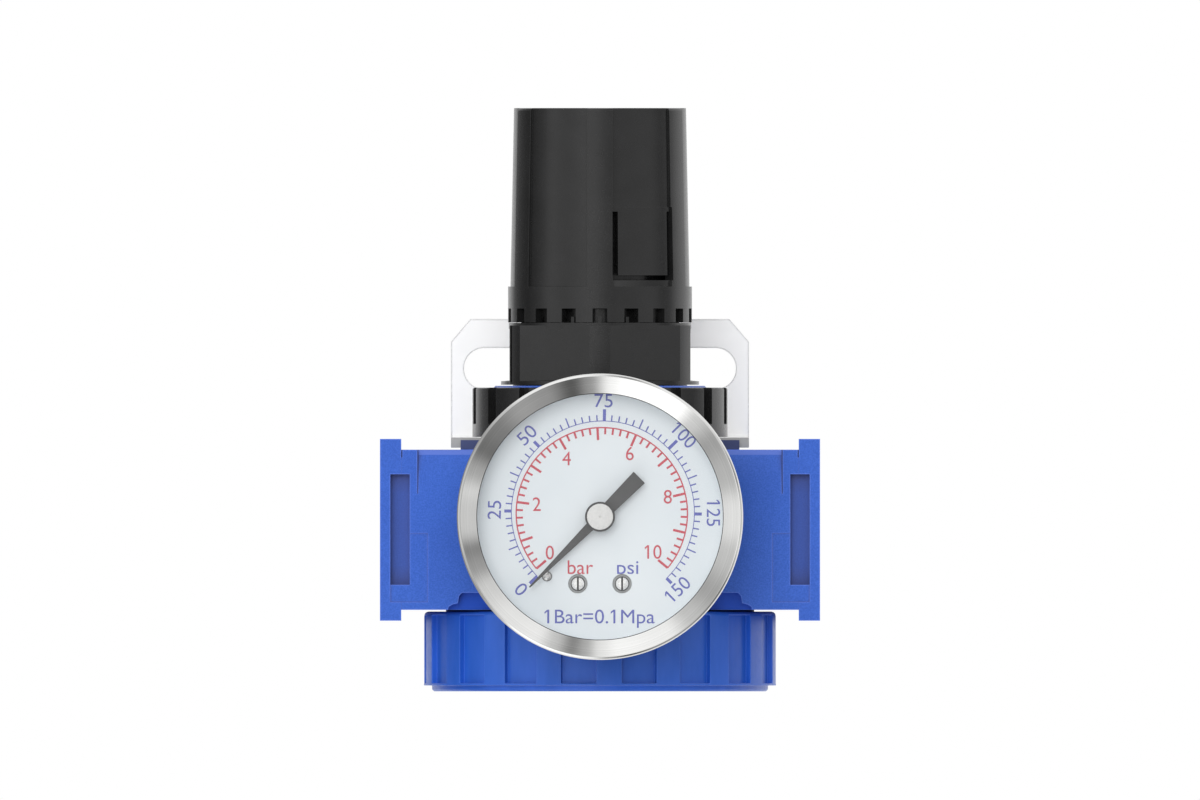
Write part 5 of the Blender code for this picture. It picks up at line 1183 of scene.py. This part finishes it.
def flag_ones(bm):
    """Adds the slanting flag the font's figure 1 lacks: its outline is a lone tall stem."""
    seen = set()
    for start in list(bm.verts):
        island, queue = [], [start]
        while queue:
            vert = queue.pop()
            if vert not in seen:
                seen.add(vert)
                island.append(vert.co)
                queue += [edge.other_vert(vert) for edge in vert.link_edges]
        if not island:
            continue
        left, right = min(c.x for c in island), max(c.x for c in island)
        low, top = min(c.y for c in island), max(c.y for c in island)
        if right - left < STEM_SHARE * MM and top - low > 0.9 * CAPITAL_SHARE * MM:
            reach, drop = left - FLAG_REACH * MM, FLAG_DROP * MM
            flag = [(left, top), (reach, top - drop), (reach, top - 1.9 * drop), (left, top - 0.9 * drop)]
            bm.faces.new([bm.verts.new((x, y, 0)) for x, y in flag])


def lettering(name, words, color, floor=None):
    """Printed words: (text, x, y, height, turn in degrees, width share) each, centred.

    Nothing is printed below the floor height, where the dial is dished.
    """
    bm = bmesh.new()
    for text, x, y, height, turn, width in words:
        curve = bpy.data.curves.new("word", "FONT")
        curve.body = text
        curve.size = MM
        curve.align_x = "CENTER"
        curve.resolution_u = 6
        mesh = mesh_of_curve(curve, 1e-9)
        glyphs = bmesh.new()
        glyphs.from_mesh(mesh)
        flag_ones(glyphs)
        glyphs.to_mesh(mesh)
        glyphs.free()
        tall = CAPITAL_SHARE * MM
        size = height * MM / tall
        middle = Matrix.Translation((0, -tall / 2, 0))
        grow = Matrix.Diagonal((size * width, size, 1, 1))
        turned_ = Matrix.Rotation(math.radians(turn), 4, "Z")
        lift = (DIAL_FRONT + PRINT_LIFT) * MM
        mesh.transform(Matrix.Translation((x * MM, y * MM, lift)) @ turned_ @ grow @ middle)
        bm.from_mesh(mesh)
        bpy.data.meshes.remove(mesh)
    if floor is not None:
        parts = bm.verts[:] + bm.edges[:] + bm.faces[:]
        bmesh.ops.bisect_plane(
            bm, geom=parts, plane_co=(0, floor * MM, 0), plane_no=(0, 1, 0), clear_inner=True)
    mesh = bpy.data.meshes.new(name)
    bmesh.ops.triangulate(bm, faces=bm.faces)
    bm.to_mesh(mesh)
    bm.free()
    obj = new_object(name, mesh, ON_GAUGE)
    return piece(obj, color, "housing", slot="pointer_grey")


# The figures, one by one: the radius of each one's middle, and how far it leans round from its mark
PSI_FIGURES = ((16.75, 0.9), (16.2, 0.6), (16.22, -0.4), (16.7, -0.5), (16.7, 0.2), (16.5, -0.7), (16.0, 0.1))
BAR_FIGURES = ((9.73, 3.2), (9.8, 0.4), (9.7, -3.2), (9.85, 1.4), (10.15, -0.7), (9.55, -2.5))
PSI_PER_TICK, PSI_FIGURE_HEIGHT, BAR_FIGURE_HEIGHT, WORD_HEIGHT = 2.5, 1.98, 2.02, 2.04


def build_numerals():
    words = []
    for i, (radius, lean) in enumerate(PSI_FIGURES):
        clock = psi_angle(i * PSI_MAJOR) + lean
        turn = 180 - clock if clock > 100 else -clock
        text = str(round(i * PSI_MAJOR * PSI_PER_TICK))
        width = 0.99 if len(text) > 2 else 1.06
        words.append((text, *on_dial(PSI_CENTRE, radius, clock), PSI_FIGURE_HEIGHT, turn, width))
    lettering("psi_figures", words, BLUE_INK)
    words = []
    for i, (radius, lean) in enumerate(BAR_FIGURES):
        clock = bar_angle(max(i * 10, 1)) + lean
        words.append((str(2 * i), *on_dial(BAR_CENTRE, radius, clock), BAR_FIGURE_HEIGHT, 0, 0.94))
    lettering("bar_figures", words, RED_INK)
    lettering("bar_word", [("bar", -3.02, -7.52, WORD_HEIGHT, 0, 1.01)], RED_INK)
    lettering("psi_word", [("psi", 4.13, -7.52, WORD_HEIGHT, 0, 1.08)], BLUE_INK, DIAL_SCREW_Y + DISH_RADIUS)
    lettering("unit_note", [("1Bar=0.1Mpa", -0.15, -14.89, WORD_HEIGHT, 0, 1.04)], BLUE_INK)


# ---------- inside ----------

def coil(name, wire, radius, low, high, turns):
    """A compression spring with closed ends, as a mesh."""
    steps = 40
    count = int(turns * steps)
    low_centre, high_centre = low + wire / 2, high - wire / 2
    ends = 1.0 / turns
    flat = wire * 1.08 / (high_centre - low_centre)
    curve = bpy.data.curves.new(name, "CURVE")
    curve.dimensions = "3D"
    curve.bevel_depth = wire / 2 * MM
    curve.bevel_resolution = 6
    curve.use_fill_caps = True
    curve.twist_mode = "Z_UP"
    spline = curve.splines.new("POLY")
    spline.points.add(count)
    for i, point in enumerate(spline.points):
        part = i / count
        if part < ends:
            rise = flat * part / ends
        elif part > 1 - ends:
            rise = 1 - flat * (1 - part) / ends
        else:
            rise = flat + (1 - 2 * flat) * (part - ends) / (1 - 2 * ends)
        angle = math.tau * turns * part
        height = low_centre + (high_centre - low_centre) * rise
        place = Vector((radius * math.cos(angle), radius * math.sin(angle), height)) * MM
        point.co = (*place, 1)
    return new_object(name, mesh_of_curve(curve, 1e-8))


def build_springs():
    for name, node, wire, radius, turns, joint, travel in (
        ("main_spring_coil", "main_spring", 2.0, 6.3, 6.5, "spring_seat_travel", 5.0),
        ("valve_spring_coil", "valve_spring", 0.8, 4.7, 5.0, "valve_stroke", 1.0),
    ):
        low, high = extent(node)
        obj = coil(name, wire, radius, low.z, high.z, turns)
        shade(obj, 50)
        piece(obj, SPRING_STEEL, "housing", node, slot="spring_steel")
        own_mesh(obj)


def build_diaphragm():
    """A rubber disc clamped by its rim, with a dished middle."""
    low, high = extent("diaphragm")
    floor, bore, rim = high.z - 0.4, 1.0, high.x
    obj = turned(
        "diaphragm_sheet",
        [(bore, floor), (9.6, floor), (9.9, high.z - 0.05), (rim - 0.1, high.z), (rim, high.z - 0.1),
         (rim, low.z + 0.1), (rim - 0.1, low.z), (bore, low.z)])
    shade(obj)
    piece(obj, RUBBER, "housing", "diaphragm", slot="rubber")
    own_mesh(obj)


def build_rear_plug():
    to_rear = Matrix.Translation((0, 0, GAUGE_HEIGHT * MM)) @ REARWARD
    plug = turned(
        "rear_plug_body",
        [(0, 23.6), (6.3, 23.6), (6.75, 23.45), (6.9, 23.0), (6.9, 21.7), (4.4, 21.7), (4.4, 20.4)]
        + thread_profile(4.6, 12.5, 20.4, PORT_THREAD_PITCH, 0.45) + [(4.2, 12.2), (0, 12.2)],
        96, to_rear)
    cut(plug, plate("hex_socket", [polygon(5.0, 6)], 19.6, 25, to_rear))
    soften(plug, 0.10, 2, 30)
    piece(plug, BRASS, "housing", "rear_port_plug", slot="brass")


def dress_inside(nodes):
    """Finishes for the CAD nodes that are shown as they are."""
    looks = {
        SPRING_STEEL: ("retaining_clip", "sector_gear", "movement_link", "pointer_spindle"),
        SILVER: ("adjusting_screw", "pressure_plate", "movement_rear_plate", "movement_front_plate"),
        BRASS: ("spring_seat", "relief_seat", "valve_poppet", "valve_guide", "valve_seat", "bourdon_tube"),
        RUBBER: ("cap_seal", "plug_seal", "gauge_seal", "poppet_seal"),
    }
    for material, names in looks.items():
        for name in names:
            if name in nodes:
                nodes[name].data.materials.clear()
                nodes[name].data.materials.append(material)


# ---------- studio ----------

CAMERA_HEIGHT, CAMERA_DISTANCE, IMAGE_WIDTH, SENSOR, LENS_LENGTH = 43.48, 2487.5, 179.1, 36.0, 500.0


LEVEL_PANELS = (
    (-180, 1.0), (-150, 1.05), (-132, 0.3), (-104, 0.1), (-85, 0.3), (-66, 1.0), (-46, 0.8), (-14, 1.2),
    (14, 0.5), (30, 0.68), (68, 0.76), (92, 0.3), (118, 1.05), (180, 1.0),
)
RING_PANELS = (
    (-180, 1.02), (-174, 0.55), (-168, 0.30), (-160, 0.72), (-152, 1.10), (-138, 1.02), (-122, 0.80),
    (-112, 0.42), (-104, 0.30), (-92, 0.76), (-80, 0.90), (-70, 0.50), (-60, 0.20), (-50, 0.26), (-36, 0.44),
    (-24, 0.38), (-12, 0.12), (-4, 0.40), (5, 1.25), (12, 1.50), (36, 1.50), (44, 0.80), (56, 0.46),
    (70, 0.60), (92, 0.88), (108, 0.70), (124, 0.48), (138, 0.70), (150, 1.14), (172, 1.24), (180, 1.02),
)
TENT_PEAK = 1.6


class Tent:
    """A light tent: white for the camera, bright panels with soft gaps for everything else."""

    def __init__(self):
        world = bpy.data.worlds.new("tent")
        bpy.context.scene.world = world
        world.use_nodes = True
        self.tree = world.node_tree
        coords = self.tree.nodes.new("ShaderNodeTexCoord")
        split = self.tree.nodes.new("ShaderNodeSeparateXYZ")
        self.link(coords.outputs["Generated"], split.inputs[0])
        right, back, up = split.outputs
        front = self.maths("MULTIPLY", back, -1.0)
        level = self.panels(self.maths("ARCTAN2", right, front), LEVEL_PANELS)
        down = self.maths("MULTIPLY", up, -1.0)
        around = self.panels(self.maths("ARCTAN2", self.maths("MULTIPLY", right, -1.0), down), RING_PANELS)
        tilt = self.maths("ABSOLUTE", up)
        share = self.tree.nodes.new("ShaderNodeMapRange")
        share.interpolation_type = "SMOOTHSTEP"
        share.inputs["From Min"].default_value = 0.05
        share.inputs["From Max"].default_value = 0.22
        self.link(tilt, share.inputs["Value"])
        mixed = self.mix(share.outputs["Result"], level, around)
        behind = self.maths("GREATER_THAN", back, 0.0)
        lit = self.mix(behind, mixed, level)
        ray = self.tree.nodes.new("ShaderNodeLightPath")
        seen = self.mix(ray.outputs["Is Camera Ray"], lit, (1.0 / TENT_PEAK,) * 3)
        background = self.tree.nodes["Background"]
        background.inputs["Strength"].default_value = TENT_PEAK
        self.link(seen, background.inputs["Color"])

    def link(self, out, into):
        self.tree.links.new(out, into)

    def maths(self, kind, first, second=None, third=None):
        node = self.tree.nodes.new("ShaderNodeMath")
        node.operation = kind
        for socket, value in zip(node.inputs, (first, second, third)):
            if isinstance(value, float):
                socket.default_value = value
            elif value is not None:
                self.link(value, socket)
        return node.outputs[0]

    def mix(self, fac, first, second):
        node = self.tree.nodes.new("ShaderNodeMix")
        node.data_type = "RGBA"
        self.link(fac, node.inputs["Factor"])
        for value, socket in ((first, node.inputs["A"]), (second, node.inputs["B"])):
            if isinstance(value, tuple):
                socket.default_value = (*value, 1)
            else:
                self.link(value, socket)
        return node.outputs["Result"]

    def panels(self, angle, stops):
        """Brightness round a full turn: the angle runs -pi to pi, and stops are (degrees, level)."""
        ramp = self.tree.nodes.new("ShaderNodeValToRGB")
        ramp.color_ramp.interpolation = "EASE"
        elements = ramp.color_ramp.elements
        for _ in range(len(stops) - 2):
            elements.new(0.5)
        for i, (degrees, level) in enumerate(stops):
            elements[i].position = i / 1000
        for i in reversed(range(len(stops))):
            degrees, level = stops[i]
            elements[i].position = (degrees + 180) / 360
            elements[i].color = (level / TENT_PEAK,) * 3 + (1,)
        self.link(self.maths("MULTIPLY_ADD", angle, 1 / math.tau, 0.5), ramp.inputs["Fac"])
        return ramp.outputs["Color"]


KEY_POWER, PLATE_FILL_POWER = 19.0, 7.5


def build_plate_fill(bracket):
    """A weak light that reaches only the bracket, as bare zinc shines more than a matt sheet."""
    data = bpy.data.lights.new("plate_fill", "AREA")
    data.shape = "DISK"
    data.size = 1.2
    data.energy = PLATE_FILL_POWER
    fill = bpy.data.objects.new("plate_fill", data)
    bpy.context.scene.collection.objects.link(fill)
    fill.location = (0.9, -1.8, 0.5)
    fill.rotation_euler = (Vector((0, 0, 0.04)) - fill.location).to_track_quat("-Z", "Y").to_euler()
    fill.visible_glossy = False
    only = bpy.data.collections.new("lit_by_plate_fill")
    only.objects.link(bracket)
    fill.light_linking.receiver_collection = only
    fill.light_linking.blocker_collection = only


def build_key():
    """A broad soft light over the viewer's left shoulder; it lights without showing in the shine."""
    data = bpy.data.lights.new("key", "AREA")
    data.shape = "DISK"
    data.size = 1.2
    data.energy = KEY_POWER
    key = bpy.data.objects.new("key", data)
    bpy.context.scene.collection.objects.link(key)
    key.location = (-0.22, -2.0, 0.42)
    key.rotation_euler = (Vector((0, 0, 0.04)) - key.location).to_track_quat("-Z", "Y").to_euler()
    key.visible_glossy = False


def build_floor():
    """A pale floor lit from within, so only the object's own shading shows on it."""
    bm = bmesh.new()
    bmesh.ops.create_circle(bm, cap_ends=True, segments=96, radius=3.0)
    floor = new_object("floor", mesh_from(bm, "floor"), Matrix.Translation((0, 0, -0.0002)))
    n = Nodes("floor_paper")
    finish_color(n, n.ramp(n.noise(40.0), 0.3, 0.7, ((0.90, 0.90, 0.90), (0.92, 0.92, 0.92))))
    n.set(Roughness=0.9)
    n.shader.inputs["Emission Color"].default_value = (1, 1, 1, 1)
    n.shader.inputs["Emission Strength"].default_value = 0.35
    floor.data.materials.append(n.material)
    floor.visible_glossy = False
    floor.visible_diffuse = False
    floor.visible_shadow = False


def build_camera():
    data = bpy.data.cameras.new("camera")
    data.type = "ORTHO"
    data.ortho_scale = IMAGE_WIDTH * MM
    data.lens = LENS_LENGTH
    data.sensor_width = SENSOR
    data.clip_end = 20.0
    camera = bpy.data.objects.new("camera", data)
    bpy.context.scene.collection.objects.link(camera)
    camera.location = Vector((0, -CAMERA_DISTANCE, CAMERA_HEIGHT)) * MM
    camera.rotation_euler = (math.pi / 2, 0, 0)
    bpy.context.scene.camera = camera
    bpy.context.scene.view_settings.view_transform = "Standard"



build_body()
build_cap()
plate_piece = build_bracket()
build_ring_nut()
build_bonnet()
build_knob()
build_lock_tab()
build_gauge_body()
build_dial()
build_pointer()
build_scales()
build_numerals()
build_rear_plug()
build_springs()
build_diaphragm()
dress_inside(frame["nodes"])
Tent()
build_key()
build_plate_fill(plate_piece)
build_floor()
build_camera()
